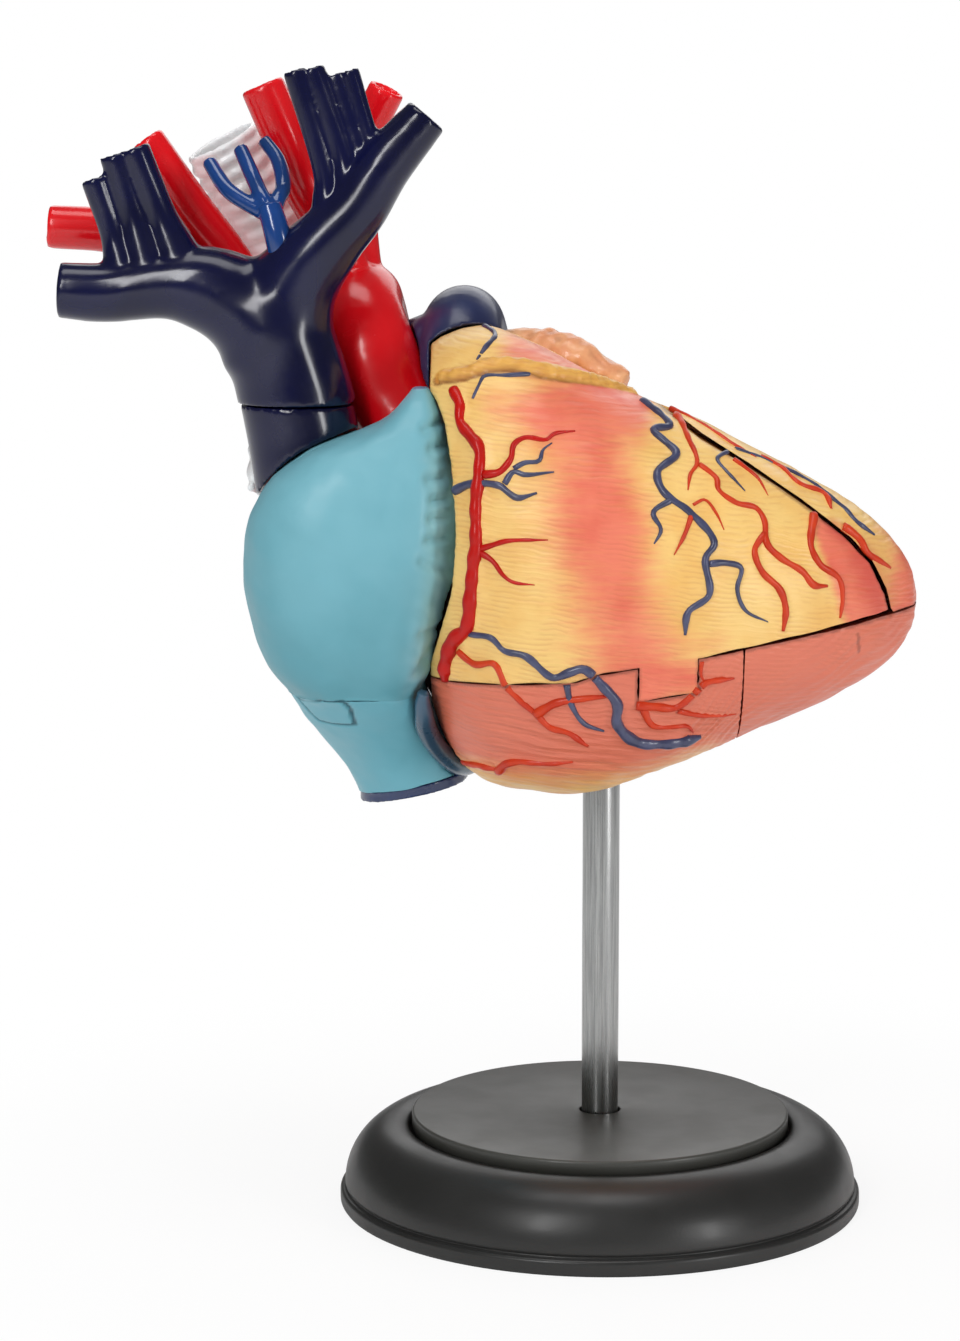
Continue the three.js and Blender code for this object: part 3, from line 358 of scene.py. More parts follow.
@dataclass(frozen=True)
class OvalForm:
    """A body lofted through rounded ovals.

    A row holds a station and the four edges of its oval: bottom, top, front and back where the
    stations run along X, or left, right, front and back where they run along Z.
    """

    rows: tuple[Row, ...]
    axis: Axis
    power: float
    end_power: float = 0.0

    def powers_at(self, stations: np.ndarray) -> np.ndarray:
        """Gives the roundness of the oval at each station."""
        share = smoothstep(self.rows[0][0], self.rows[-1][0], stations)
        return self.power + ((self.end_power or self.power) - self.power) * share

    def edges_at(self, stations: np.ndarray) -> np.ndarray:
        """Gives the four edges of the oval at each station.

        Args:
            stations: Places along the form, in any order.

        Returns:
            One row of four edges for each station, on smooth curves through the form's rows.
        """
        table = np.array(self.rows, float)
        at, values = table[:, 0], table[:, 1:]
        chords = np.diff(values, axis=0) / np.diff(at)[:, None]
        slopes = np.empty_like(values)
        slopes[1:-1] = (values[2:] - values[:-2]) / (at[2:] - at[:-2])[:, None]
        slopes[0] = 1.5 * chords[0] - 0.5 * slopes[1]
        slopes[-1] = 1.5 * chords[-1] - 0.5 * slopes[-2]
        places = np.clip(stations, at[0], at[-1])
        span = np.clip(np.searchsorted(at, places, side="right") - 1, 0, len(at) - 2)
        length = at[span + 1] - at[span]
        t = ((places - at[span]) / length)[:, None]
        length = length[:, None]
        return (
            (2 * t**3 - 3 * t**2 + 1) * values[span]
            + (t**3 - 2 * t**2 + t) * length * slopes[span]
            + (3 * t**2 - 2 * t**3) * values[span + 1]
            + (t**3 - t**2) * length * slopes[span + 1]
        )

    def grown(self, by: float, first: float | None = None, last: float | None = None) -> "OvalForm":
        """Makes a form that is larger, or smaller where by is negative.

        Args:
            by: How far the sides move out.
            first: How far the first end moves out, if not as far as the sides.
            last: How far the last end moves out, if not as far as the sides.

        Returns:
            The new form.
        """
        first = by if first is None else first
        last = by if last is None else last
        start, end = self.rows[0][0], self.rows[-1][0]
        scale = (end - start + first + last) / (end - start)
        rows = []
        for at, a, b, c, d in self.rows:
            if by >= 0 or min(b - a, d - c) > -3 * by:
                rows.append((start - first + (at - start) * scale, a - by, b + by, c - by, d + by))
        return OvalForm(tuple(rows), self.axis, self.power, self.end_power)

    def body(
        self, sides: int = 96, pitch: float = 1.0, start: float | None = None, end: float | None = None
    ) -> Solid:
        """Makes the form's closed body.

        Args:
            sides: The number of points in a ring.
            pitch: The distance between rings.
            start: Where the body starts, if not at the first row.
            end: Where the body ends, if not at the last row.

        Returns:
            The body as a mesh in work.
        """
        start = self.rows[0][0] if start is None else start
        end = self.rows[-1][0] if end is None else end
        count = max(int(round((end - start) / pitch)), 2)
        stations = np.linspace(start, end, count + 1)
        angles = 2.0 * math.pi * np.arange(sides) / sides
        cos, sin = np.cos(angles), np.sin(angles)
        rings = []
        for station, power, (a, b, c, d) in zip(stations, self.powers_at(stations), self.edges_at(stations)):
            u = np.sign(cos) * np.abs(cos) ** (2.0 / power)
            v = np.sign(sin) * np.abs(sin) ** (2.0 / power)
            first = (a + b) / 2 + (b - a) / 2 * u
            second = (c + d) / 2 + (d - c) / 2 * v
            ring = np.full((sides, 3), station)
            ring[:, 1] = second
            ring[:, 2 if self.axis is Axis.X else 0] = first
            rings.append(ring)
        return skin(rings)

    def room(self, sides: int = 96, pitch: float = 1.5) -> Solid:
        """Makes the space that the form takes, with its clearance."""
        return self.grown(CLEARANCE).body(sides, pitch)

    def share(self, places: np.ndarray) -> np.ndarray:
        """Says how far out places lie.

        Args:
            places: One place in each row.

        Returns:
            A value for each place: 0 on the form's middle line, 1 on its skin, more outside.
        """
        stations = places[:, self.axis.value]
        across = places[:, 2 if self.axis is Axis.X else 0]
        edges = self.edges_at(stations)
        low, high = self.rows[0][0], self.rows[-1][0]
        half_u = np.maximum((edges[:, 1] - edges[:, 0]) / 2, 0.3)
        half_v = np.maximum((edges[:, 3] - edges[:, 2]) / 2, 0.3)
        u = np.abs(across - (edges[:, 0] + edges[:, 1]) / 2) / half_u
        v = np.abs(places[:, 1] - (edges[:, 2] + edges[:, 3]) / 2) / half_v
        power = self.powers_at(stations)
        inside = (u**power + v**power) ** (1.0 / power)
        beyond = np.maximum(low - stations, stations - high)
        return np.where(beyond > 0.2, 1.0 + beyond, inside)


# Shared forms of the heart: the same stations as the solids have

VENTRICLES = OvalForm(
    (
        (-27.5, 13, 70.5, -19, 22), (-24, 5, 72.6, -22.5, 25), (-19, 0.6, 73.4, -26.5, 28),
        (-12, -1, 71.2, -29.5, 30), (-3, -1.2, 66.6, -31, 30), (6, 1.6, 62.3, -31, 28.5),
        (15.5, 5.5, 58.6, -30, 26), (25, 9.8, 53.7, -27, 22), (33.5, 13.3, 49.3, -23, 17),
        (41, 17.2, 44.6, -18, 11), (46.5, 21.5, 39.5, -12.5, 5.5), (49.5, 26.5, 34.5, -8, 1),
        (50.3, 30.5, 30.5, -3.5, -3.5),
    ),
    Axis.X,
    2.3,
)
RIGHT_ATRIUM = OvalForm(
    (
        (16, -50.3, -28.8, -18.5, 14), (20.5, -53.6, -28, -21.5, 12.5), (27, -55.9, -26.2, -24, 11),
        (34, -57, -24.3, -25, 10), (42, -56.5, -23.7, -25, 9), (49, -53.5, -24, -24, 7),
        (54.5, -47.2, -24.6, -22, 4), (57.3, -40.2, -25.1, -20.5, 1), (59.5, -34.9, -25.5, -18.7, -1.4),
        (63, -31.6, -26.8, -16, -5), (64.6, -30.3, -28.2, -13, -8),
    ),
    Axis.Z,
    2.8,
)
LEFT_ATRIUM = OvalForm(
    (
        (27, -42, -26, 16, 33), (32, -47, -24.2, 13, 38), (40, -50.5, -23.8, 12, 40),
        (48, -50, -23.8, 12.5, 39.5), (56, -46, -24.2, 15, 36), (60, -40, -26, 19, 30),
    ),
    Axis.Z,
    2.6,
)
LOWER_VENA_CAVA = OvalForm(
    (
        (-2.9, -39.5, -20.9, -1, 17.6), (3.5, -43, -23, -3.8, 16.8), (9, -46.6, -25.4, -9.5, 15.5),
        (15.9, -50.3, -28.8, -18.4, 14.1),
    ),
    Axis.Z,
    2.1,
    2.8,
)
VENTRICLE_WALL = 2.4
ATRIUM_WALL = 2.0
SPLIT_Y = 2.0
ATRIUM_SPLIT_Y = -12.0
FLOOR_SPLIT_X = 21.0
PEG_LENGTH = 9.0
PEG_BOSS_DIAMETER = 5.6
PEG_PLACES = (-16.0, -3.0)
PLATE_X = -22.7
PLATE_THICKNESS = 2.0

AORTA: Path = (
    (-20, 2, 42, 8), (-23.6, 4, 47, 8), (-28, 6, 53, 7.8), (-34, 8.5, 61, 7.7), (-37.6, 10, 69, 7.6),
    (-39.4, 13.5, 74.5, 7.3), (-38.7, 18.5, 76.3, 6.6), (-36.8, 25, 74.5, 4.9), (-35.6, 30, 69.5, 4.6),
    (-35, 32.5, 64, 4.6),
)
PULMONARY: Path = (
    (-23.2, 7, 60, 6.2), (-23, 8, 66, 7.2), (-22.7, 13, 72, 6.6), (-21.5, 24, 72, 6), (-20, 33, 68, 5.5),
)
CORONARY_SINUS: Path = (
    (-28.6, -15.9, 17.0, 0.9), (-28.8, -14.8, 15.4, 1.2), (-28.6, -13.2, 13.2, 1.5), (-28.4, -11, 11, 1.7),
    (-26.6, -6, 6.5, 1.7), (-23.4, 0, 2.6, 1.7), (-21, 8, 2, 1.8), (-22.5, 18, 7.5, 2),
    (-25.6, 24.5, 17, 2.2), (-25.8, 27, 25.5, 2.3),
)
SVC_LOWER: Path = ((-47.2, -2.2, 52, 8.9), (-47.8, -2, 56, 8.9), (-49.2, -2, 63, 8.8))


# Work on whole objects


def shelf(body: Solid) -> bpy.types.Object:
    """Puts a body on the bench as a working object, in millimetres."""
    mesh = bpy.data.meshes.new("blank")
    body.to_mesh(mesh)
    body.free()
    item = bpy.data.objects.new("blank", mesh)
    bpy.context.scene.collection.objects.link(item)
    return item


def clear(item: bpy.types.Object) -> None:
    """Takes a working object off the bench."""
    mesh = item.data
    bpy.data.objects.remove(item)
    bpy.data.meshes.remove(mesh)


def settled(item: bpy.types.Object) -> None:
    """Applies all modifiers of an object to its mesh."""
    graph = bpy.context.evaluated_depsgraph_get()
    made = bpy.data.meshes.new_from_object(item.evaluated_get(graph))
    item.modifiers.clear()
    old = item.data
    item.data = made
    bpy.data.meshes.remove(old)


def carved(blank: Solid, *steps: Solid | tuple[Cut, Solid]) -> Solid:
    """Works on a blank with one tool after another.

    Args:
        blank: The body to start from.
        steps: Each a tool that removes material, or a way to cut and the tool for it.

    Returns:
        The carved body.
    """
    item = shelf(blank)
    tools = []
    for step in steps:
        way, tool = step if isinstance(step, tuple) else (Cut.REMOVE, step)
        tools.append(shelf(tool))
        modifier = item.modifiers.new(way.name, "BOOLEAN")
        modifier.operation = way.value
        modifier.solver = "EXACT"
        modifier.object = tools[-1]
    settled(item)
    body = bmesh.new()
    body.from_mesh(item.data)
    for used in (item, *tools):
        clear(used)
    return body


def keep_largest(body: Solid) -> Solid:
    """Deletes all but the largest loose part of a body.

    Args:
        body: The body, whose points are numbered afresh.

    Returns:
        The same body with one part left.
    """
    seen, parts = set(), []
    for seed in body.verts:
        if seed.index in seen:
            continue
        seen.add(seed.index)
        part = [seed]
        for vert in part:
            for edge in vert.link_edges:
                other = edge.other_vert(vert)
                if other.index not in seen:
                    seen.add(other.index)
                    part.append(other)
        parts.append(part)
    parts.sort(key=len, reverse=True)
    spare = [vert for part in parts[1:] for vert in part]
    bmesh.ops.delete(body, geom=spare, context="VERTS")
    return body


def melted(body: Solid, voxel: float, rounding: int = 4) -> Solid:
    """Melts a body into one even skin with soft edges.

    Args:
        body: The body, whose parts may overlap.
        voxel: The size of the new faces.
        rounding: How many times the skin is smoothed.

    Returns:
        The new body.
    """
    item = shelf(body)
    melt = item.modifiers.new("melt", "REMESH")
    melt.mode = "VOXEL"
    melt.voxel_size = voxel
    soften = item.modifiers.new("soften", "SMOOTH")
    soften.factor = 0.5
    soften.iterations = rounding
    settled(item)
    made = bmesh.new()
    made.from_mesh(item.data)
    clear(item)
    return keep_largest(made)


class Piece:
    """One piece of the model while it is being worked on, with its points in millimetres."""

    def __init__(self, body: Solid, name: str, base: float = HEART_HEIGHT) -> None:
        """Takes a body over.

        Args:
            body: The body in millimetres.
            name: The piece's name.
            base: The height that the body's heights count from.
        """
        self.mesh = bpy.data.meshes.new(name)
        body.to_mesh(self.mesh)
        body.free()
        self.name = name
        self.base = base

    def read(self, store: bpy.types.bpy_prop_collection, name: str) -> np.ndarray:
        """Reads three values for each point of the piece, one point in each row."""
        values = np.empty(len(self.mesh.vertices) * 3, np.float32)
        store.foreach_get(name, values)
        return values.reshape(-1, 3).astype(float)

    def points(self) -> np.ndarray:
        """Gives the piece's points."""
        return self.read(self.mesh.vertices, "co")

    def normals(self) -> np.ndarray:
        """Gives the direction that the skin faces at each point."""
        return self.read(self.mesh.vertex_normals, "vector")

    def placed(self, places: np.ndarray) -> None:
        """Moves the points to new places."""
        self.mesh.vertices.foreach_set("co", places.astype(np.float32).ravel())

    def raised(self, heights: np.ndarray) -> None:
        """Moves each point out along its normal by its own height."""
        self.placed(self.points() + self.normals() * heights[:, None])
        self.mesh.update()

    def painted(self, **layers: np.ndarray) -> None:
        """Stores layers of paint by name, one value at each point, for a finish to read."""
        for name, values in layers.items():
            store = self.mesh.attributes.new(name, "FLOAT", "POINT")
            store.data.foreach_set("value", np.clip(values, 0.0, 1.0).astype(np.float32))

    def done(self, finish: Finish, *nodes: str, body: Body = Body.CORE, sharp: bool = False) -> None:
        """Turns the piece into a finished object in metres.

        Args:
            finish: The record's slot that the finish was built for, and the material that the piece takes.
            nodes: The model's nodes that it stands for.
            body: The body that it rides on.
            sharp: Whether the sharp edges of a turned or cut piece stay sharp.
        """
        shift = Matrix.Translation((0.0, 0.0, self.base * MM))
        self.mesh.transform(shift @ Matrix.Scale(MM, 4))
        self.mesh.shade_smooth()
        self.mesh.materials.clear()
        self.mesh.materials.append(finish[1])
        item = bpy.data.objects.new(self.name, self.mesh)
        bpy.context.scene.collection.objects.link(item)
        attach(item, body.value)
        if nodes:
            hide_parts(*nodes)
        if sharp:
            self.mesh.set_sharp_from_angle(angle=math.radians(SHARP_ANGLE))
        LOG.info("%s: %d faces", self.name, len(self.mesh.polygons))


def finished(
    solid: Solid, name: str, finish: Finish, *nodes: str, base: float = HEART_HEIGHT, **how: Body | bool
) -> None:
    """Finishes a solid that needs no relief or paint of its own."""
    Piece(solid, name, base).done(finish, *nodes, **how)


# Finishes


class Nodes:
    """Short calls for laying out nodes in the tree of a material or a world."""

    def __init__(self, owner: bpy.types.ID) -> None:
        """Opens the owner's tree."""
        owner.use_nodes = True
        self.tree = owner.node_tree

    def node(self, kind: str, inputs: dict | None = None, **settings: str) -> bpy.types.Node:
        """Adds a node.

        Args:
            kind: The node's type.
            inputs: Values or sockets by the input's name or number.
            settings: The node's own properties.

        Returns:
            The new node.
        """
        made = self.tree.nodes.new(kind)
        for name, value in settings.items():
            setattr(made, name, value)
        for name, value in (inputs or {}).items():
            if isinstance(value, Socket):
                self.tree.links.new(value, made.inputs[name])
            else:
                made.inputs[name].default_value = value
        return made

    def lead(self, shader: bpy.types.Node, output: str) -> None:
        """Leads a shader to the tree's output."""
        self.tree.links.new(shader.outputs[0], self.tree.nodes[output].inputs["Surface"])


class NodeSketch(Nodes):
    """Short calls for laying out the nodes of one finish."""

    def __init__(self, name: str) -> None:
        """Starts a finish with a bare shader."""
        self.material = bpy.data.materials.new(name)
        super().__init__(self.material)
        self.shader = self.tree.nodes["Principled BSDF"]

    def places(self, stretch: Point = (1.0, 1.0, 1.0), turn: Point = (0.0, 0.0, 0.0)) -> Socket:
        """Gives the place on the object, stretched and turned, in metres."""
        where = self.node("ShaderNodeTexCoord").outputs["Object"]
        inputs = {"Vector": where, "Scale": stretch, "Rotation": turn}
        return self.node("ShaderNodeMapping", inputs).outputs["Vector"]

    def grain(self, size: float, places: Socket | None = None, detail: float = 3.0) -> Socket:
        """Gives noise from 0 to 1 whose spots are about a size in millimetres."""
        inputs = {"Vector": places or self.places(), "Scale": 1.0 / (size * MM), "Detail": detail}
        return self.node("ShaderNodeTexNoise", inputs).outputs["Fac"]

    def attribute(self, name: str) -> Socket:
        """Gives a value that is stored at the mesh's points."""
        return self.node("ShaderNodeAttribute", attribute_name=name).outputs["Fac"]

    def sum(self, kind: str, first: Socket | float, second: Socket | float) -> Socket:
        """Works out one operation on two values."""
        return self.node("ShaderNodeMath", {0: first, 1: second}, operation=kind).outputs["Value"]

    def ramp(self, value: Socket, low: float, high: float, bottom: float = 0.0, top: float = 1.0) -> Socket:
        """Maps a value smoothly from low and high to bottom and top."""
        inputs = {"Value": value, "From Min": low, "From Max": high, "To Min": bottom, "To Max": top}
        return self.node("ShaderNodeMapRange", inputs, interpolation_type="SMOOTHSTEP").outputs["Result"]

    def mixed(self, share: Socket, first: Socket | str, second: Socket | str) -> Socket:
        """Mixes two colours, each a hex text or a socket."""
        made = self.node("ShaderNodeMix", data_type="RGBA")
        for slot, value in (("Factor", share), ("A", first), ("B", second)):
            target = next(s for s in made.inputs if s.name == slot and s.enabled)
            if isinstance(value, Socket):
                self.tree.links.new(value, target)
            else:
                target.default_value = rgba(value)
        return next(s for s in made.outputs if s.name == "Result" and s.enabled)

    def toned(self, size: float, low: float, high: float, colour: str, shade: str) -> Socket:
        """Mixes two tones in patches of a size in millimetres."""
        return self.mixed(self.ramp(self.grain(size), low, high), colour, shade)

    def bump(self, height: Socket, depth: float, strength: float) -> None:
        """Lays relief of a depth in millimetres on the shader's normal."""
        made = self.node("ShaderNodeBump", {"Height": height, "Distance": depth * MM, "Strength": strength})
        self.drive("Normal", made.outputs["Normal"])

    def drive(self, name: str, value: Socket) -> None:
        """Drives one of the shader's values from a socket."""
        self.tree.links.new(value, self.shader.inputs[name])

    def rough(self, size: float, low: float, high: float) -> None:
        """Lets the roughness wander between two values in spots of a size in millimetres."""
        self.drive("Roughness", self.ramp(self.grain(size), 0.3, 0.7, low, high))

    def fixed(self, **values: float | Row) -> None:
        """Sets values that are the same all over on the shader's own sockets."""
        for name, value in values.items():
            self.shader.inputs[name.replace("_", " ").title().replace("Ior", "IOR")].default_value = value


def rgba(text: str) -> tuple[float, float, float, float]:
    """Turns a colour such as "eb9a5c" into the linear values that a shader takes."""
    parts = [int(text[at : at + 2], 16) / 255 for at in (0, 2, 4)]
    linear = [part / 12.92 if part <= 0.04045 else ((part + 0.055) / 1.055) ** 2.4 for part in parts]
    return (*linear, 1.0)


class Coating:
    """A finish that is built once, for the slot that it takes."""

    def material(self) -> bpy.types.Material:
        """Builds the finish; each kind of coating has its own way."""
        raise NotImplementedError

    def on(self, slot: Slot) -> Finish:
        """Builds the finish for a slot of the record."""
        return slot, self.material()


@dataclass(frozen=True)
class GlossPaint(Coating):
    """Smooth moulded plastic with a coat of glossy paint, as on the vessels."""

    name: str
    colour: str
    shade: str
    roughness: float
    coat: float = 0.5
    patch: float = 14.0
    specular: float = 0.5

    def material(self) -> bpy.types.Material:
        """Builds the finish."""
        sketch = NodeSketch(self.name)
        sketch.drive("Base Color", sketch.toned(self.patch, 0.35, 0.7, self.colour, self.shade))
        sketch.rough(5.0, self.roughness - 0.04, self.roughness + 0.06)
        sketch.bump(sketch.grain(2.4, detail=2.0), 0.08, 0.25)
        sketch.fixed(specular_ior_level=self.specular, coat_weight=self.coat, coat_roughness=0.15)
        return sketch.material


@dataclass(frozen=True)
class MusclePaint(Coating):
    """Hand-painted muscle: yellow fat with salmon bands outside, and red inside.

    The mesh stores where the outer skin, the salmon flush and the ochre ridge are, and where shade is
    painted:
    dark seam lines that are partly paint and partly painted shade, painted shadow under the ridge, darker
    hollows on the ridge and a deeper salmon on the floors, which face down.
    """

    name: str = "muscle_paint"
    fat: str = "f4ca79"
    fat_shade: str = "eeb863"
    flush: str = "ec7c60"
    flush_deep: str = "e2664f"
    # Painted shade: a deeper salmon for the floors, which face down and get less light.
    floor: str = "d8745a"
    deep: str = "c8463e"
    # Painted shade: a darker ochre for the ridge's hollows and its lower side.
    ridge_shade: str = "cc8a38"
    roll: str = "e4ab52"
    line: str = "bb6438"
    # Dark brown for the seam lines, partly paint and partly painted shade in the gaps, and for the painted
    # shadow under the ridge.
    crease: str = "5a2418"
    inside: str = "c0594c"
    inside_deep: str = "943a33"
    line_pitch: float = 0.8

    def material(self) -> bpy.types.Material:
        """Builds the finish."""
        sketch = NodeSketch(self.name)
        streaks = sketch.grain(0.75, sketch.places((0.12, 0.12, 1.0), (0.0, 0.06, 0.0)), 2.0)
        lines = self.hatching(sketch)
        fat = sketch.toned(9.0, 0.35, 0.75, self.fat, self.fat_shade)
        flush = sketch.toned(7.0, 0.35, 0.75, self.flush, self.flush_deep)
        feather = sketch.ramp(streaks, 0.25, 0.75, -0.09, 0.09)
        feathered = sketch.sum("ADD", sketch.attribute("flush"), feather)
        outer = sketch.mixed(sketch.ramp(feathered, 0.03, 0.97), fat, flush)
        # Painted shade: the floors are mixed towards the deeper floor salmon.
        outer = sketch.mixed(sketch.attribute("floor"), outer, self.floor)
        outer = sketch.mixed(sketch.attribute("deep"), outer, self.deep)
        # The ridge is painted darker in its hollows and along its lower side: painted shade.
        ridge = sketch.mixed(sketch.attribute("hollow"), self.roll, self.ridge_shade)
        outer = sketch.mixed(sketch.attribute("ridge"), outer, ridge)
        outer = sketch.mixed(sketch.ramp(lines, 0.05, 0.5, 0.16, 0.0), outer, self.line)
        inner = sketch.toned(3.0, 0.35, 0.7, self.inside, self.inside_deep)
        surface = sketch.mixed(sketch.attribute("outer"), inner, outer)
        # Creases painted dark: seam lines, partly painted shade, and painted shadow under the ridge.
        sketch.drive("Base Color", sketch.mixed(sketch.attribute("crease"), surface, self.crease))
        sketch.drive("Roughness", sketch.ramp(streaks, 0.3, 0.7, 0.36, 0.5))
        sketch.bump(sketch.sum("ADD", streaks, sketch.sum("MULTIPLY", lines, 0.6)), 0.16, 0.6)
        sketch.fixed(coat_weight=0.12, coat_roughness=0.25)
        return sketch.material

    def hatching(self, sketch: NodeSketch) -> Socket:
        """Draws fine, slightly falling lines, whose distance wanders.

        Args:
            sketch: The finish that they go on.

        Returns:
            A value from 0 to 1 that is low in the lines.
        """
        scale = 0.314 / (self.line_pitch * MM)
        inputs = {"Scale": scale, "Distortion": 9.0, "Detail": 3.0, "Detail Scale": 0.32}
        inputs["Vector"] = sketch.places(turn=(0.0, -0.13, 0.0))
        wave = sketch.node("ShaderNodeTexWave", inputs, bands_direction="Z")
        fade = sketch.ramp(sketch.grain(5.0), 0.36, 0.62, 0.6, 0.0)
        return sketch.sum("MAXIMUM", wave.outputs["Fac"], fade)


@dataclass(frozen=True)
class AtriumPaint(Coating):
    """Satin cyan paint, a little darker lower down, with dark engraved lines and a painted highlight along
    the right margin.
    """

    name: str = "atrium_paint"
    upper: str = "72b0be"
    lower: str = "599ba9"
    crease: str = "1c4a58"
    # Painted highlight: a pale cyan laid along the atrium's right margin, where it turns away into shade.
    margin: str = "a9e2ee"
    inside: str = "5c7fa6"

    def material(self) -> bpy.types.Material:
        """Builds the finish."""
        sketch = NodeSketch(self.name)
        split = sketch.node("ShaderNodeSeparateXYZ", {"Vector": sketch.places()})
        height = sketch.ramp(split.outputs["Z"], 0.078, 0.125)
        tone = sketch.sum("ADD", height, sketch.ramp(sketch.grain(12.0), 0.3, 0.7, -0.15, 0.15))
        surface = sketch.mixed(sketch.ramp(tone, 0.0, 1.0), self.lower, self.upper)
        # Painted highlight along the right margin.
        surface = sketch.mixed(sketch.sum("MULTIPLY", sketch.attribute("margin"), 0.62), surface, self.margin)
        surface = sketch.mixed(sketch.attribute("outer"), self.inside, surface)
        sketch.drive("Base Color", sketch.mixed(sketch.attribute("crease"), surface, self.crease))
        sketch.rough(6.0, 0.42, 0.52)
        sketch.bump(sketch.grain(3.5, detail=2.0), 0.25, 0.3)
        sketch.fixed(coat_weight=0.08, coat_roughness=0.2)
        return sketch.material


@dataclass(frozen=True)
class MottledPaint(Coating):
    """Two tones of paint over cast lumps, with painted shade in the hollows, as on the auricle and the
    windpipe.
    """

    name: str
    colour: str
    shade: str
    # Painted shade: the colour that the hollows are darkened towards.
    crease: str
    roughness: float
    patch: float = 4.0
    subsurface: float = 0.0

    def material(self) -> bpy.types.Material:
        """Builds the finish."""
        sketch = NodeSketch(self.name)
        surface = sketch.toned(self.patch, 0.38, 0.66, self.colour, self.shade)
        # Painted shade in the hollows.
        sketch.drive("Base Color", sketch.mixed(sketch.attribute("crease"), surface, self.crease))
        sketch.rough(3.0, self.roughness - 0.05, self.roughness + 0.1)
        sketch.bump(sketch.grain(1.5), 0.3, 0.4)
        sketch.fixed(coat_weight=0.2, subsurface_weight=self.subsurface, subsurface_scale=0.004)
        return sketch.material


@dataclass(frozen=True)
class MouldedPlastic(Coating):
    """Black or grey moulded plastic with a faint mould grain."""

    name: str
    colour: str
    shade: str
    roughness: float

    def material(self) -> bpy.types.Material:
        """Builds the finish."""
        sketch = NodeSketch(self.name)
        sketch.drive("Base Color", sketch.toned(20.0, 0.3, 0.7, self.colour, self.shade))
        sketch.rough(9.0, self.roughness - 0.03, self.roughness + 0.05)
        sketch.bump(sketch.grain(0.35, detail=1.0), 0.05, 0.2)
        sketch.fixed(coat_weight=0.1, coat_roughness=0.2)
        return sketch.material


@dataclass(frozen=True)
class DrawnSteel(Coating):
    """Bright drawn steel with fine lines along the rod."""

    name: str = "drawn_steel"
    colour: str = "b2b3b2"
    shade: str = "9a9b9b"

    def material(self) -> bpy.types.Material:
        """Builds the finish."""
        sketch = NodeSketch(self.name)
        lines = sketch.grain(0.25, sketch.places((1.0, 1.0, 0.02)), 2.0)
        sketch.drive("Base Color", sketch.mixed(sketch.ramp(lines, 0.3, 0.7), self.colour, self.shade))
        sketch.drive("Roughness", sketch.ramp(lines, 0.3, 0.7, 0.22, 0.34))
        sketch.bump(lines, 0.03, 0.3)
        sketch.fixed(metallic=1.0)
        return sketch.material


class Paints:
    """All finishes of the model, each with the slot that it takes, built once."""

    def __init__(self) -> None:
        """Builds each finish."""
        muscle = MusclePaint().material()
        self.walls = (Slot.YELLOW, muscle)
        self.floors = (Slot.SALMON, muscle)
        # Painted shade: the dark sheet in the groove takes the muscle paint, painted all over in its dark
        # crease colour.
        self.shade_web = (Slot.INNER, muscle)
        self.atrium = AtriumPaint().on(Slot.ATRIUM)
        # Painted light: a lighter, even copy of the atrium paint for the lower vena cava, which faces down
        # into shade.
        self.vena_cava_lightened = AtriumPaint("vena_cava_lightened_paint", "6bb0c0", "6bb0c0").on(Slot.ATRIUM)
        self.navy = GlossPaint("navy_gloss", "0a0c2c", "0d1038", 0.2, 0.35, 14.0, 0.35).on(Slot.NAVY)
        self.artery = GlossPaint("artery_gloss", "ea0e1a", "de0a16", 0.22, 0.3, 14.0, 0.4).on(Slot.ARTERY)
        self.thyroid = GlossPaint("thyroid_gloss", "174084", "123468", 0.14).on(Slot.VEIN)
        self.sinus = GlossPaint("sinus_gloss", "34566e", "2a485e", 0.3).on(Slot.VEIN)
        self.pulmonary = GlossPaint("pulmonary_gloss", "1a2148", "28325a", 0.36, 0.22).on(Slot.NAVY)
        self.liner = GlossPaint("liner_gloss", "22345f", "1c2c52", 0.3).on(Slot.NAVY)
        main = GlossPaint("surface_artery_paint", "be140c", "ae100a", 0.3, 0.08, 5.0, 0.25)
        small = GlossPaint("small_artery_paint", "cf3f1a", "bf3014", 0.35, 0.08, 4.0, 0.3)
        self.surface_artery, self.small_artery = main.on(Slot.ARTERY), small.on(Slot.ARTERY)
        self.surface_vein = GlossPaint("surface_vein_paint", "363a58", "484c6c", 0.34, 0.3, 3.0).on(Slot.VEIN)
        # The third colour of each mottled paint is painted shade for its hollows.
        pink = MottledPaint("left_atrium_paint", "cf6a60", "bd5149", "6a2420", 0.38, 9.0)
        self.left_atrium = pink.on(Slot.PINK)
        self.auricle = MottledPaint("auricle_paint", "df9468", "eaad7c", "7c4028", 0.36).on(Slot.AURICLE)
        white = MottledPaint("cartilage_paint", "fafdff", "eef0f0", "bcb4b0", 0.28)
        self.cartilage = white.on(Slot.CARTILAGE)
        self.inner = MottledPaint("inner_muscle_paint", "c8655a", "b04a42", "6e2622", 0.42).on(Slot.INNER)
        self.ivory = MottledPaint("valve_paint", "ece0c2", "dccba4", "b59a6c", 0.4, 5.0, 0.1).on(Slot.IVORY)
        self.black = MouldedPlastic("black_moulding", "212120", "262625", 0.4).on(Slot.BLACK)
        self.grey = MouldedPlastic("disc_moulding", "3d3d39", "454541", 0.42).on(Slot.GREY)
        self.steel = DrawnSteel().on(Slot.STEEL)


# Seams, seen from the front as lines of x and z points


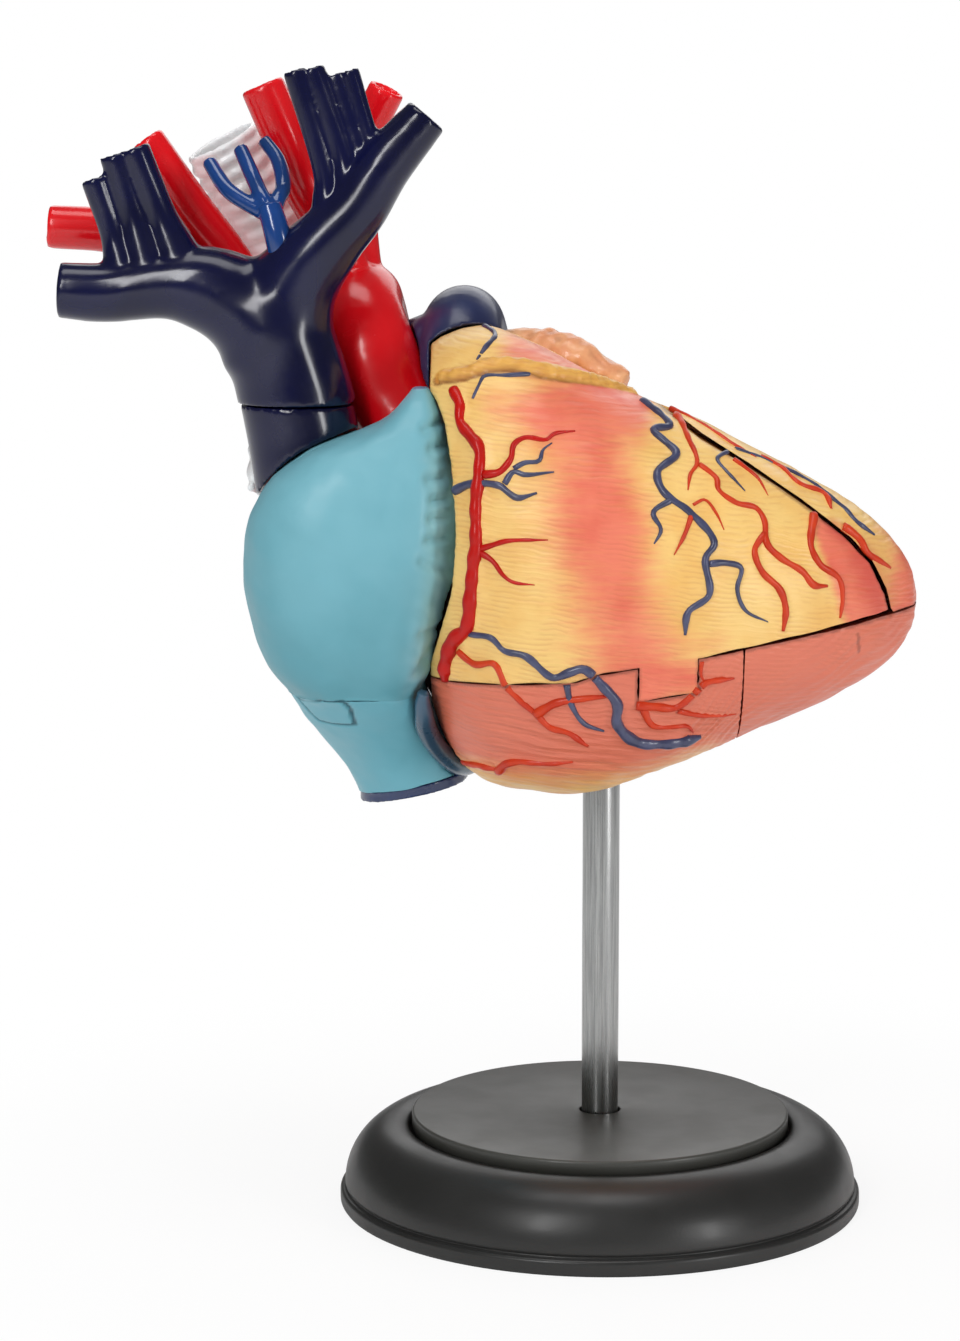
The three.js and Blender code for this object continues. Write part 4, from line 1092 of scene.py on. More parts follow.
@dataclass(frozen=True)
class Seams:
    """Where the ventricle walls and floors part, with the gap that shows at each point."""

    left: Pixels = ((-30, 18.9), (-27.4, 18.9), (-5, 20.6), (-2, 21.8))
    right: Pixels = ((21.3, 25.6), (45, 29.2), (45.4, 29.2), (60, 31))
    left_gaps: Row = (0.3, 0.3, 0.3, 0.3)
    right_gaps: Row = (0.4, 0.95, 0.3, 0.3)
    tab_left: float = 4.5
    tab_right: float = 14.0
    tab_top: float = 22.9
    tab_depth: float = 5.5
    front: Pixels = (
        (4, 76), (4, 70), (8.3, 62), (15, 57.3), (22, 53), (30.3, 47.4), (37.6, 41.9), (41.5, 38), (44, 33),
        (45, 29.2),
    )
    front_gaps: Row = (0.3, 0.3, 0.6, 0.95, 0.6, 0.45, 0.75, 0.9, 0.8, 0.8)
    front_way: tuple[float, float] = (0.55, 0.83)

    def tab(self, gap: float) -> Outline:
        """Gives the corners of the wall's tab, drawn in by a gap."""
        bottom = self.tab_top - self.tab_depth + gap
        return [
            (self.tab_left + gap, self.tab_top + gap),
            (self.tab_left + gap, bottom),
            (self.tab_right - gap, bottom + 1.5),
            (self.tab_right - gap, self.tab_top + 1.4 + gap),
        ]

    def below(self, front: float, back: float, tabbed: bool) -> Solid:
        """Makes the cutter below the walls' lower edge, which lies its gaps above the floors.

        Args:
            front: Where the cutter starts along Y.
            back: Where it ends.
            tabbed: Whether it follows the tab in front, or runs straight as at the back.

        Returns:
            The cutter.
        """
        gaps = (*self.left_gaps, *self.right_gaps)
        moved = [(x, z + gap) for (x, z), gap in zip((*self.left, *self.right), gaps)]
        left, right = moved[: len(self.left)], moved[len(self.left) :]
        line = [*left, *self.tab(CLEARANCE), *right] if tabbed else [left[0], right[-1]]
        outline = [(-REACH, -REACH), (-REACH, left[0][1]), *line, (REACH, right[-1][1]), (REACH, -REACH)]
        return prism(outline, front, back)

    def lower_line(self) -> Outline:
        """Gives the top edge of the floors in front, round the tab, from left to right."""
        ends = (-REACH, self.left[0][1]), (REACH, self.right[-1][1])
        return [ends[0], *self.left, *self.tab(0.0), *self.right, ends[1]]

    def left_of_front(self) -> Solid:
        """Makes the part left of the seam between the two walls, less its gaps."""
        line = self.front_line(1.0)
        outline = [(-REACH, line[0][1]), *line, (line[-1][0], -REACH), (-REACH, -REACH)]
        return prism(outline, -REACH, SPLIT_Y - CLEARANCE)

    def front_line(self, share: float) -> Outline:
        """Gives the wall seam moved in by a share of its gaps, beyond the plain clearance."""
        points = []
        across, up = self.front_way
        for (x, z), gap in zip(self.front, self.front_gaps):
            inwards = (gap - CLEARANCE) * share
            points.append((x - across * inwards, z - up * inwards))
        return points


SEAMS = Seams()


def above(line: Outline, front: float, back: float) -> Solid:
    """Makes everything above a line of x and z points, between a front and a back."""
    return prism([*line, (line[-1][0], 2 * REACH), (line[0][0], 2 * REACH)], front, back)


def beside_atrium(gap: float) -> Solid:
    """Makes everything left of the right atrium's outline, swept from front to back."""
    edge = [(row[2] + gap, row[0]) for row in RIGHT_ATRIUM.rows]
    bottom, top = edge[0][1] - gap, edge[-1][1] + gap
    return prism([(-REACH, bottom), (edge[0][0], bottom), *edge[1:], (-REACH, top)])


# What the photograph fixes by its pixels


@dataclass(frozen=True)
class PhotoCamera:
    """The photograph's viewpoint, and rays through its pixels."""

    place: Point = (-19.7, -600.0, 183.0)
    pitch: float = 9.0
    focal_pixels: float = 3760.0
    width: float = 960.0
    height: float = 1341.0
    sensor: float = 36.0

    def ray(self, px: float, py: float) -> tuple[Vector, Vector]:
        """Gives the start and direction of the ray through a pixel, with heights on the heart."""
        tilt = math.radians(self.pitch)
        right = (px - self.width / 2) / self.focal_pixels
        up = (self.height / 2 - py) / self.focal_pixels
        ahead, rise = math.cos(tilt) + up * math.sin(tilt), up * math.cos(tilt) - math.sin(tilt)
        start = Vector(self.place) - Vector((0.0, 0.0, HEART_HEIGHT))
        return start, Vector((right, ahead, rise)).normalized()

    def set_up(self) -> None:
        """Makes the scene's camera."""
        camera = bpy.data.cameras.new("camera")
        camera.sensor_width = self.sensor
        camera.lens = self.focal_pixels * self.sensor / self.height
        camera.clip_start = 0.01
        camera.clip_end = 20.0
        item = bpy.data.objects.new("camera", camera)
        item.location = Vector(self.place) * MM
        item.rotation_euler = (math.radians(90.0 - self.pitch), 0.0, 0.0)
        bpy.context.scene.collection.objects.link(item)
        bpy.context.scene.camera = item


CAMERA = PhotoCamera()


class Target:
    """A surface that lines are laid on."""

    def __init__(self, *forms: OvalForm) -> None:
        """Takes the skin of one or more forms."""
        body = merged([form.body(sides=96, pitch=1.0) for form in forms])
        self.tree = BVHTree.FromBMesh(body)
        body.free()

    def seen(self, pixels: Pixels) -> list[Vector]:
        """Finds the places on the surface that lie behind pixels of the photograph."""
        found = []
        for pixel in pixels:
            start, direction = CAMERA.ray(*pixel)
            place = self.tree.ray_cast(start, direction)[0]
            found.append(place or self.edge(start, direction))
        return found

    def edge(self, start: Vector, direction: Vector) -> Vector:
        """Finds the place on the surface that lies nearest to a ray passing it by."""
        along = start + direction * ((HEART_MIDDLE - start).dot(direction))
        return self.tree.find_nearest(along)[0]

    def behind(self, line: Pixels) -> list[Vector]:
        """Finds the places on the back of the surface at x and z points."""
        found = []
        for x, z in line:
            place = self.tree.ray_cast(Vector((x, REACH, z)), Vector((0.0, -1.0, 0.0)))[0]
            found.append(place or self.tree.find_nearest(Vector((x, 0.0, z)))[0])
        return found

    def snapped(self, place: Vector) -> tuple[Vector, Vector]:
        """Gives the nearest place on the surface and the way it faces."""
        found, normal, _, _ = self.tree.find_nearest(place)
        return found, normal


class Region(Enum):
    """The pieces that the outer skin of the ventricles is split into."""

    FRONT_WALL = "front_wall"
    LEFT_WALL = "left_wall"
    RIGHT_FLOOR = "right_floor"
    APEX_FLOOR = "apex_floor"


def height_at(line: Outline | Pixels, x: float) -> float:
    """Gives a line's height at a place along X."""
    return float(np.interp(x, [point[0] for point in line], [point[1] for point in line]))


def region_of(place: Vector) -> Region:
    """Says which piece of the ventricles a place on their skin belongs to.

    Args:
        place: A place on the skin, with its height on the heart.

    Returns:
        The piece's region.
    """
    line = [SEAMS.left[0], SEAMS.right[-1]]
    if place.y < SPLIT_Y:
        line = [*SEAMS.left, *SEAMS.right]
    floor = height_at(line, place.x)
    if place.y < SPLIT_Y and SEAMS.tab_left < place.x < SEAMS.tab_right:
        floor = SEAMS.tab_top - SEAMS.tab_depth + 0.16 * (place.x - SEAMS.tab_left)
    if place.z < floor:
        return Region.RIGHT_FLOOR if place.x < FLOOR_SPLIT_X else Region.APEX_FLOOR
    seam = SEAMS.front[1:]
    if place.y < SPLIT_Y and place.x < seam[-1][0] and place.z < height_at(seam, place.x):
        return Region.FRONT_WALL
    return Region.LEFT_WALL


class Kind(Enum):
    """The kinds of vessel painted on the ventricles."""

    MAIN_ARTERY = "main_artery"
    ARTERY = "artery"
    VEIN = "vein"


@dataclass(frozen=True)
class Vessel:
    """A vessel on the ventricles: its kind, its width at both ends and the pixels that it follows."""

    kind: Kind
    start: float
    end: float
    line: Pixels
    at_back: bool = False


MAIN, ARTERY, VEIN = Kind.MAIN_ARTERY, Kind.ARTERY, Kind.VEIN

FRONT_VESSELS: tuple[Vessel, ...] = (
    Vessel(MAIN, 1.7, 2.6, (
        (454, 390), (461, 406), (461, 422), (471, 436), (480, 449), (479, 481), (477, 502), (477, 549),
        (475, 560), (472, 594), (468, 627), (455, 640), (448, 660), (446, 682),
    )),
    Vessel(MAIN, 1.3, 0.5, (
        (484, 475), (500, 472), (511, 459), (514, 445), (525, 438), (546, 440), (554, 434), (575, 431),
    )),
    Vessel(VEIN, 1.5, 0.8, ((455, 491), (471, 484), (500, 486), (509, 493), (518, 498), (537, 493))),
    Vessel(VEIN, 1.1, 0.5, ((505, 484), (514, 472), (525, 475), (554, 472))),
    Vessel(VEIN, 0.9, 0.5, ((514, 469), (525, 463), (539, 461), (543, 450), (552, 443))),
    Vessel(VEIN, 0.5, 1.0, ((473, 399), (480, 384), (484, 377), (507, 376), (537, 375))),
    Vessel(VEIN, 0.9, 0.8, ((484, 327), (495, 336), (484, 350), (477, 360))),
    Vessel(MAIN, 1.0, 0.4, ((480, 549), (490, 546), (507, 541), (548, 540))),
    Vessel(MAIN, 1.0, 0.4, ((480, 552), (493, 561), (504, 576), (513, 582), (535, 585))),
    Vessel(VEIN, 1.4, 1.1, (
        (642, 402), (669, 427), (653, 431), (676, 454), (657, 473), (663, 492), (690, 513), (714, 543),
        (705, 559), (709, 595), (688, 612), (685, 635),
    )),
    Vessel(VEIN, 1.0, 0.6, ((672, 500), (653, 513), (661, 530), (654, 544))),
    Vessel(VEIN, 1.1, 0.4, ((709, 564), (725, 563), (741, 568), (737, 589), (745, 610), (768, 622))),
    Vessel(ARTERY, 1.3, 0.5, ((676, 416), (688, 439), (697, 463), (690, 475), (688, 490))),
    Vessel(ARTERY, 0.9, 1.2, (
        (699, 465), (716, 479), (718, 490), (735, 503), (756, 509), (764, 522), (766, 543), (779, 557),
        (802, 572), (813, 585), (827, 586),
    )),
    Vessel(ARTERY, 1.0, 1.2, ((764, 534), (754, 551), (762, 572), (779, 589), (785, 608), (783, 631))),
    Vessel(ARTERY, 1.4, 0.8, ((813, 515), (810, 545), (819, 564), (838, 578), (842, 593), (840, 618))),
    Vessel(ARTERY, 0.5, 0.4, ((693, 505), (705, 500), (716, 513), (724, 530))),
    Vessel(ARTERY, 0.9, 0.4, ((692, 514), (684, 536), (674, 555))),
    Vessel(VEIN, 0.8, 0.4, ((728, 452), (717, 460), (726, 471), (745, 491))),
    Vessel(ARTERY, 0.9, 0.4, ((733, 460), (756, 477), (768, 496))),
    Vessel(VEIN, 0.7, 0.9, (
        (735, 449), (762, 459), (789, 471), (817, 487), (834, 501), (845, 510), (857, 523), (874, 535),
    )),
    Vessel(ARTERY, 0.9, 1.1, ((760, 457), (779, 467), (798, 484), (823, 494), (831, 509))),
    Vessel(ARTERY, 1.5, 0.9, ((842, 527), (857, 538), (867, 553), (890, 568))),
    Vessel(ARTERY, 0.9, 0.7, ((668, 408), (700, 424), (735, 446), (756, 458))),
    Vessel(VEIN, 0.9, 2.2, (
        (470, 634), (492, 638), (504, 650), (526, 656), (553, 677), (570, 672), (584, 669), (602, 685),
        (617, 703), (617, 723), (638, 741), (671, 741), (700, 736),
    )),
    Vessel(VEIN, 1.1, 0.7, ((566, 678), (571, 703), (584, 723), (604, 731))),
    Vessel(ARTERY, 1.1, 1.1, (
        (459, 651), (475, 664), (495, 664), (506, 685), (528, 707), (537, 714), (550, 727), (568, 732),
        (588, 746),
    )),
    Vessel(ARTERY, 1.6, 0.8, ((536, 714), (555, 703), (586, 698), (609, 696))),
    Vessel(ARTERY, 1.5, 1.0, ((636, 705), (655, 706), (675, 707), (693, 694), (705, 683), (734, 678))),
    Vessel(ARTERY, 1.3, 0.6, ((642, 706), (653, 725), (687, 726), (693, 732))),
    Vessel(ARTERY, 1.0, 0.5, ((678, 710), (700, 715), (736, 714))),
    Vessel(ARTERY, 0.8, 1.5, ((463, 761), (482, 765), (499, 769))),
    Vessel(ARTERY, 1.6, 0.6, ((499, 770), (507, 763), (517, 761), (550, 763), (573, 762))),
    Vessel(ARTERY, 0.7, 0.5, ((702, 658), (701, 675), (706, 684))),
)

BACK_VESSELS: tuple[Vessel, ...] = (
    Vessel(VEIN, 2.0, 0.8, ((-22, 20), (-14, 23), (-4, 21), (8, 24), (20, 26), (31, 30), (40, 31)), True),
    Vessel(MAIN, 1.6, 0.7, ((-22, 25), (-12, 27.5), (0, 26), (12, 29), (24, 30.5), (34, 33)), True),
    Vessel(VEIN, 1.6, 0.6, ((-19, 62), (-12, 55), (-6, 45), (4, 39), (13, 37), (22, 39)), True),
    Vessel(ARTERY, 1.5, 0.5, ((-21, 56), (-10, 58), (2, 53), (14, 48), (25, 43), (36, 38)), True),
    Vessel(ARTERY, 1.0, 0.4, ((2, 53), (6, 45), (14, 41), (19, 34)), True),
    Vessel(ARTERY, 1.0, 0.4, ((-20, 44), (-12, 40), (-6, 33), (2, 32)), True),
    Vessel(ARTERY, 0.9, 0.4, ((-2, 26), (0, 18), (6, 12), (8, 8)), True),
    Vessel(VEIN, 1.0, 0.4, ((-12, 23), (-14, 14), (-8, 7), (-6, 4)), True),
    Vessel(ARTERY, 0.9, 0.4, ((12, 29), (18, 22), (26, 20)), True),
    Vessel(VEIN, 0.9, 0.4, ((8, 24), (14, 17), (16, 11)), True),
)


@dataclass
class CoronaryVessels:
    """The vessels that lie half sunk in the skin of the ventricles."""

    paints: Paints
    step: float = 0.5
    sides: int = 12
    sunk: float = 0.22
    bed_reach: float = 3.5
    bed_height: float = 0.38
    bed_spread: float = 1.5

    def __post_init__(self) -> None:
        """Lays every vessel on the ventricles."""
        self.target = Target(VENTRICLES)
        self.runs: list[tuple[Region, Kind, list[Row]]] = []
        for vessel in FRONT_VESSELS + BACK_VESSELS:
            self.lay(vessel)
        rows = [row for _, _, run in self.runs for row in run]
        self.radii = np.array([row[3] for row in rows])
        self.beds = KDTree(len(rows))
        for index, row in enumerate(rows):
            self.beds.insert(row[:3], index)
        self.beds.balance()

    def lay(self, vessel: Vessel) -> None:
        """Lays one vessel on the skin and splits it where it crosses a seam.

        Args:
            vessel: The vessel, with the pixels or places that it runs through.
        """
        found = self.target.behind(vessel.line) if vessel.at_back else self.target.seen(vessel.line)
        rough = smooth_points(tuple(tuple(place) for place in found), 10)
        length = sum((Vector(b) - Vector(a)).length for a, b in zip(rough, rough[1:]))
        count = max(int(length / self.step), 4)
        travelled, rows, wanted = 0.0, [], 0
        for start, end in zip(rough, rough[1:]):
            piece = (Vector(end) - Vector(start)).length
            while wanted <= count and wanted * length / count <= travelled + piece + 1e-6:
                share = (wanted * length / count - travelled) / max(piece, 1e-6)
                place, _ = self.target.snapped(Vector(start).lerp(Vector(end), share))
                along = wanted / count
                radius = (vessel.start * (1 - along) + vessel.end * along) / 2
                taper = min(1.0, 0.45 + 0.55 * (1 - along) * length / 2.5)
                radius *= taper * (1.0 + 0.08 * math.sin(wanted * 0.9) + 0.05 * math.sin(wanted * 0.37))
                rows.append((*place, radius))
                wanted += 1
            travelled += piece
        run: list[Row] = []
        region = None
        for row in rows:
            here = region_of(Vector(row[:3]))
            if region is not None and here is not region:
                self.keep(region, vessel.kind, run)
                run = []
            region = here
            run.append(row)
        self.keep(region, vessel.kind, run)

    def keep(self, region: Region, kind: Kind, run: list[Row]) -> None:
        """Keeps a stretch of vessel that is long enough to show."""
        if len(run) >= 3:
            self.runs.append((region, kind, run))

    def bed(self, places: np.ndarray) -> np.ndarray:
        """Says how much the skin swells beside the vessels at each place."""
        swell = np.zeros(len(places))
        for index, place in enumerate(places):
            _, nearest, gap = self.beds.find(place)
            radius = self.radii[nearest]
            if gap < self.bed_reach * radius:
                swell[index] = self.bed_height * radius * math.exp(-((gap / (self.bed_spread * radius)) ** 2))
        return swell

    def build(self) -> None:
        """Makes one piece for each region and kind of vessel."""
        finishes = {
            Kind.MAIN_ARTERY: self.paints.surface_artery,
            Kind.ARTERY: self.paints.small_artery,
            Kind.VEIN: self.paints.surface_vein,
        }
        for region in Region:
            body = Body.FRONT_WALL if region is Region.FRONT_WALL else Body.CORE
            for kind, finish in finishes.items():
                wanted = [run for where, what, run in self.runs if (where, what) == (region, kind)]
                threads = [self.thread(run) for run in wanted]
                if threads:
                    finished(merged(threads), f"{region.value}_{kind.value}", finish, body=body)

    def thread(self, run: list[Row]) -> Solid:
        """Makes the round thread of one stretch, sunk a little into the skin."""
        rows = []
        for row in run:
            place, normal = self.target.snapped(Vector(row[:3]))
            centre = place + normal * (self.sunk * row[3])
            rows.append((*centre, row[3]))
        return tube(tuple(rows), sides=self.sides, steps=1)


@dataclass(frozen=True)
class Stroke:
    """A soft stroke of paint along a line of x and z points."""

    line: Pixels
    spread: float
    soft: float
    strength: float = 1.0

    def cover(self, places: np.ndarray) -> np.ndarray:
        """Says how much paint lies at each place."""
        gap = line_distance(places[:, [0, 2]], np.array(self.line, float))
        return self.strength * (1.0 - smoothstep(self.spread - self.soft, self.spread + self.soft, gap))


def layered(strokes: tuple[Stroke, ...], places: np.ndarray) -> np.ndarray:
    """Lays strokes of paint over each other."""
    bare = np.ones(len(places))
    for stroke in strokes:
        bare *= 1.0 - np.clip(stroke.cover(places), 0.0, 1.0)
    return 1.0 - bare


def peg_bars(radius: float, grow: float) -> list[Solid]:
    """Makes bars where the locating pegs run from front to back."""
    made = []
    for x in PEG_PLACES:
        top = float(VENTRICLES.edges_at(np.array([x]))[0][1])
        z = top - VENTRICLE_WALL - PEG_BOSS_DIAMETER / 4
        reach = PEG_LENGTH / 2 + grow
        made.append(bar((x, SPLIT_Y - reach, z), (x, SPLIT_Y + reach, z), radius))
    return made


@dataclass
class Ventricles:
    """The two walls and the two floors, the dark sheet of painted shade in the groove, and the locating pegs.
    """

    paints: Paints
    vessels: CoronaryVessels
    voxel: float = 0.42
    ridge_line: Pixels = (
        (441, 377), (467, 373), (487, 366), (513, 365), (533, 369), (550, 373), (583, 379), (607, 385),
        (632, 393),
    )
    ridge_radii: Row = (1.2, 1.3, 1.5, 1.6, 1.7, 1.8, 1.7, 1.5, 1.2)
    rod_diameter: float = 6.0
    rod_in_heart: float = 14.0
    socket_diameter: float = 12.0
    socket_roof: float = 3.0
    floors_below: float = 36.0
    peg_diameter: float = 2.2
    peg_bevel: float = 0.3
    fibre_pitch: float = 1.7
    fibre_lean: float = 0.12
    knot_pitch: float = 4.2
    skin_from: float = 0.945
    skin_to: float = 0.975
    web_span: tuple[float, float] = (2.6, 5.0)
    web_left: float = -31.0
    web_foot: float = 7.5
    web_top: float = 60.0
    web_reach: float = 4.5
    front_bands: tuple[Stroke, ...] = (
        Stroke(((-17.5, 62.5), (-9, 62)), 2.0, 3.4, 0.5),
        Stroke(((-8.5, 61), (-3, 62), (4, 61)), 3.2, 4.8, 0.95),
        Stroke(((-2, 64), (4.5, 62.5)), 2.0, 3.0, 0.8),
        Stroke(((-2.6, 60), (-1.8, 52.5), (-0.6, 44)), 4.4, 6.2, 0.86),
        Stroke(((-0.8, 46), (1.0, 38), (3.2, 29), (5.5, 18)), 4.8, 7.4, 0.86),
        Stroke(((-9.5, 60), (-7, 50), (-4, 38), (0, 24)), 6.0, 9.0, 0.42),
        Stroke(((38, 42.5), (39.6, 37), (41.3, 31.5)), 5.0, 1.5, 0.9),
        Stroke(((40, 40), (43, 35)), 1.6, 2.4, 0.8),
        Stroke(((33.5, 44), (36.5, 38)), 1.8, 1.5, 0.8),
        Stroke(((-14, 70.5), (-5, 68.5), (3, 65)), 2.2, 3.0, 0.85),
        Stroke(((4.5, 20), (14, 21.5)), 2.6, 1.8, 0.75),
        Stroke(((7, 26), (17, 27)), 1.8, 2.8, 0.35),
    )
    left_bands: tuple[Stroke, ...] = (
        Stroke(((52, 22), (50, 30), (50.5, 38)), 4.2, 4.8, 0.95),
        Stroke(((45, 43), (49, 38)), 2.2, 3.4, 0.5),
        Stroke(((47, 29), (48, 34)), 2.6, 3.0, 0.7),
        Stroke(((-4, 55), (4, 46), (9, 36), (12, 24)), 5.0, 6.0, 0.7),
    )
    deep_strokes: tuple[Stroke, ...] = (
        Stroke(((35.2, 43.4), (37, 41.6)), 1.0, 1.1, 0.7),
        Stroke(((40, 38.5), (42.2, 34.5), (43, 31)), 2.2, 2.4, 0.55),
    )
    floor_line: Pixels = ((39.4, 26.6), (39.6, 23.8))
    warm_edge: tuple[Stroke, ...] = (Stroke(((-22, 2), (-8, 0.5), (6, 1.5), (16, 5)), 3.6, 5.2, 0.85),)

    def __post_init__(self) -> None:
        """Lays the ridge on the skin, where the photograph shows it."""
        rows = []
        for place, radius in zip(self.vessels.target.seen(self.ridge_line), self.ridge_radii):
            centre, normal = self.vessels.target.snapped(place)
            rows.append((*(centre - normal * 0.2 * radius), radius))
        self.ridge: Path = tuple(rows)

    def shell(self) -> Solid:
        """Makes the hollow skin of both ventricles, open to the left and clear of the vessels' roots."""
        chamber = VENTRICLES.grown(-VENTRICLE_WALL, first=0.0)
        return carved(
            VENTRICLES.body(144, 0.8),
            chamber.body(72, 1.6, start=chamber.rows[0][0] - 10),
            beside_atrium(CLEARANCE),
            LEFT_ATRIUM.room(64),
            carved(room_for(AORTA), (Cut.KEEP, slab(-REACH, PLATE_X - 2 * CLEARANCE))),
            room_for(CORONARY_SINUS, 24, 4),
        )

    def groove_shade_web(self) -> None:
        """Builds the dark sheet behind the groove between the right atrium and the ventricles, painted all
        over in the crease colour as painted shade deep in the groove.
        """
        edge = [(row[2], row[0]) for row in RIGHT_ATRIUM.rows if row[0] < self.web_top]
        right, bottom = PLATE_X - 0.1, edge[0][1] + 0.3
        behind = [(x - self.web_reach, z) for x, z in reversed(edge)]
        low = [(self.web_left, self.web_foot), (right, self.web_foot), (right, bottom + 0.2)]
        skirt = carved(
            prism([*low, (self.web_left, bottom + 0.2)], *self.web_span),
            VENTRICLES.grown(0.05).body(96, 1.2),
            LOWER_VENA_CAVA.grown(0.05).body(96, 1.2),
            tube(CORONARY_SINUS, 24, 6, grow=0.1),
        )
        atrium = RIGHT_ATRIUM.grown(0.05).body(96, 1.2)
        upper = prism([(right, bottom), (right, edge[-1][1]), *behind], *self.web_span)
        shade_web = carved(upper, (Cut.ADD, skirt), atrium, room_for(AORTA))
        piece = Piece(keep_largest(shade_web), "groove_shade_web")
        full = np.ones(len(piece.points()))
        # Painted shade: the whole sheet is painted in the dark crease colour.
        piece.painted(outer=full, flush=full, crease=full)
        piece.done(self.paints.shade_web, sharp=True)

    def dressed(
        self, solid: Solid, name: str, node: str, bands: tuple[Stroke, ...] = (), body: Body = Body.CORE
    ) -> None:
        """Gives a piece of the shell its relief, its vessels' beds and its paint, painted shade included.

        Args:
            solid: The melted piece.
            name: Its name.
            node: The model's node that it stands for.
            bands: The salmon strokes on it; a piece without any is salmon all over, as the floors are.
            body: The body that it rides on.
        """
        floor = not bands
        piece = Piece(solid, name)
        places = piece.points()
        flat, in_front = places[:, [0, 2]], places[:, 1] < SPLIT_Y
        tip = VENTRICLES.rows[-1][0]
        share = np.maximum(VENTRICLES.share(places), smoothstep(tip - 3.0, tip - 2.0, places[:, 0]))
        outer = smoothstep(self.skin_from, self.skin_to, share)
        spine = np.array(smooth_points(self.ridge, 6))
        roll = np.interp(places[:, 0], spine[:, 0], spine[:, 3])
        ridge_gap = line_distance(places, spine[:, :3]) / roll
        over_spine = (places[:, 2] - np.interp(places[:, 0], spine[:, 0], spine[:, 2])) / roll
        on_ridge = (1.0 - smoothstep(1.1, 1.4, ridge_gap)) * (0.0 if floor else 1.0) * in_front
        knots = lumps(places, self.knot_pitch)
        lean = self.fibre_lean - (0.75 * smoothstep(8.0, 22.0, places[:, 0]) if floor else 0.0)
        fibres = ripple(places, self.fibre_pitch, lean, 0.5)
        grain = (0.12 if floor else 0.05) * fibres + 0.12 * lumps(places, 11.0)
        heights = outer * (grain * (1.0 - on_ridge) + self.vessels.bed(places))
        heights += on_ridge * (0.14 * knots + 0.14 * lumps(places, 2.4))
        heights += (1.0 - smoothstep(0.90, 0.935, share)) * (-0.5 + np.abs(lumps(places, 7.0)) * 0.9) * 0.7
        front_gap = line_distance(flat, np.array(SEAMS.front_line(0.5)))
        lower_gap = line_distance(flat, np.array([*SEAMS.left, *SEAMS.tab(0.0), *SEAMS.right]))
        back_gap = line_distance(flat, np.array([SEAMS.left[0], SEAMS.right[-1]]))
        near_seam = np.where(in_front, np.minimum(front_gap, lower_gap), back_gap)
        # Painted shadow along the underside of the ridge.
        ridge_shadow = np.exp(-(((ridge_gap - 1.16) / 0.17) ** 2)) * smoothstep(0.3, -0.4, over_spine) * in_front
        # Seam lines painted dark, partly paint and partly painted shade, with the ridge's painted shadow.
        crease = np.maximum((1.0 - smoothstep(0.2, 0.5, near_seam)) * 0.55, (0.0 if floor else 0.62) * ridge_shadow)
        if floor:
            drawn = line_distance(flat, np.array(self.floor_line))
            crease = np.maximum(crease, 0.5 * in_front * (1.0 - smoothstep(0.1, 0.4, drawn)))
            flush = 1.0 - layered(self.warm_edge, places)
            # Painted shade: the floors are darkened towards the floor salmon, less so along the warm edge.
            piece.painted(floor=0.8 * flush**2)
        else:
            flush = layered(bands, places)
            piece.painted(deep=in_front * layered(self.deep_strokes, places))
        # Painted shade on the ridge: on its lower side and in the hollows between its knots.
        hollow = 0.75 * smoothstep(0.5, -0.9, over_spine) + 0.35 * smoothstep(0.2, -0.6, knots)
        piece.raised(heights)
        outer = np.maximum(outer, on_ridge)
        piece.painted(outer=outer, flush=flush, hollow=hollow, ridge=on_ridge, crease=crease)
        piece.done(self.paints.floors if floor else self.paints.walls, node, body=body, sharp=True)

    def build(self) -> None:
        """Builds the walls, the floors and the pegs."""
        bosses = [(Cut.ADD, boss) for boss in peg_bars(PEG_BOSS_DIAMETER / 2, 1.5)]
        bores = peg_bars(self.peg_diameter / 2 + CLEARANCE, CLEARANCE)
        shell = carved(self.shell(), *bosses, (Cut.KEEP, VENTRICLES.grown(0.05).body(96, 1.2)), *bores)
        ridge = carved(tube(self.ridge, 32, 8), beside_atrium(CLEARANCE), (Cut.KEEP, SEAMS.left_of_front()))
        front = carved(
            melted(merged([shell.copy(), ridge]), self.voxel, 3),
            SEAMS.below(-REACH, SPLIT_Y, True),
            (Cut.KEEP, SEAMS.left_of_front()),
        )
        name, node = "front_wall_cast", "right_ventricle_front_wall"
        self.dressed(keep_largest(front), name, node, self.front_bands, Body.FRONT_WALL)
        left = carved(
            melted(shell.copy(), self.voxel, 3),
            SEAMS.below(-REACH, SPLIT_Y, True),
            SEAMS.below(SPLIT_Y - 1, REACH, False),
            self.before_seam(),
        )
        self.dressed(keep_largest(left), "left_wall_cast", "left_ventricle_wall", self.left_bands)
        self.build_floors(shell)
        self.groove_shade_web()
        for number, peg in enumerate(peg_bars(self.peg_diameter / 2, 0.0), start=1):
            edges = {"geom": end_edges(peg), "affect": "EDGES", "offset": self.peg_bevel}
            bmesh.ops.bevel(peg, **edges, segments=2, profile=0.5, material=-1)
            finished(peg, f"peg_{number}", self.paints.ivory, f"locating_peg_{number}")

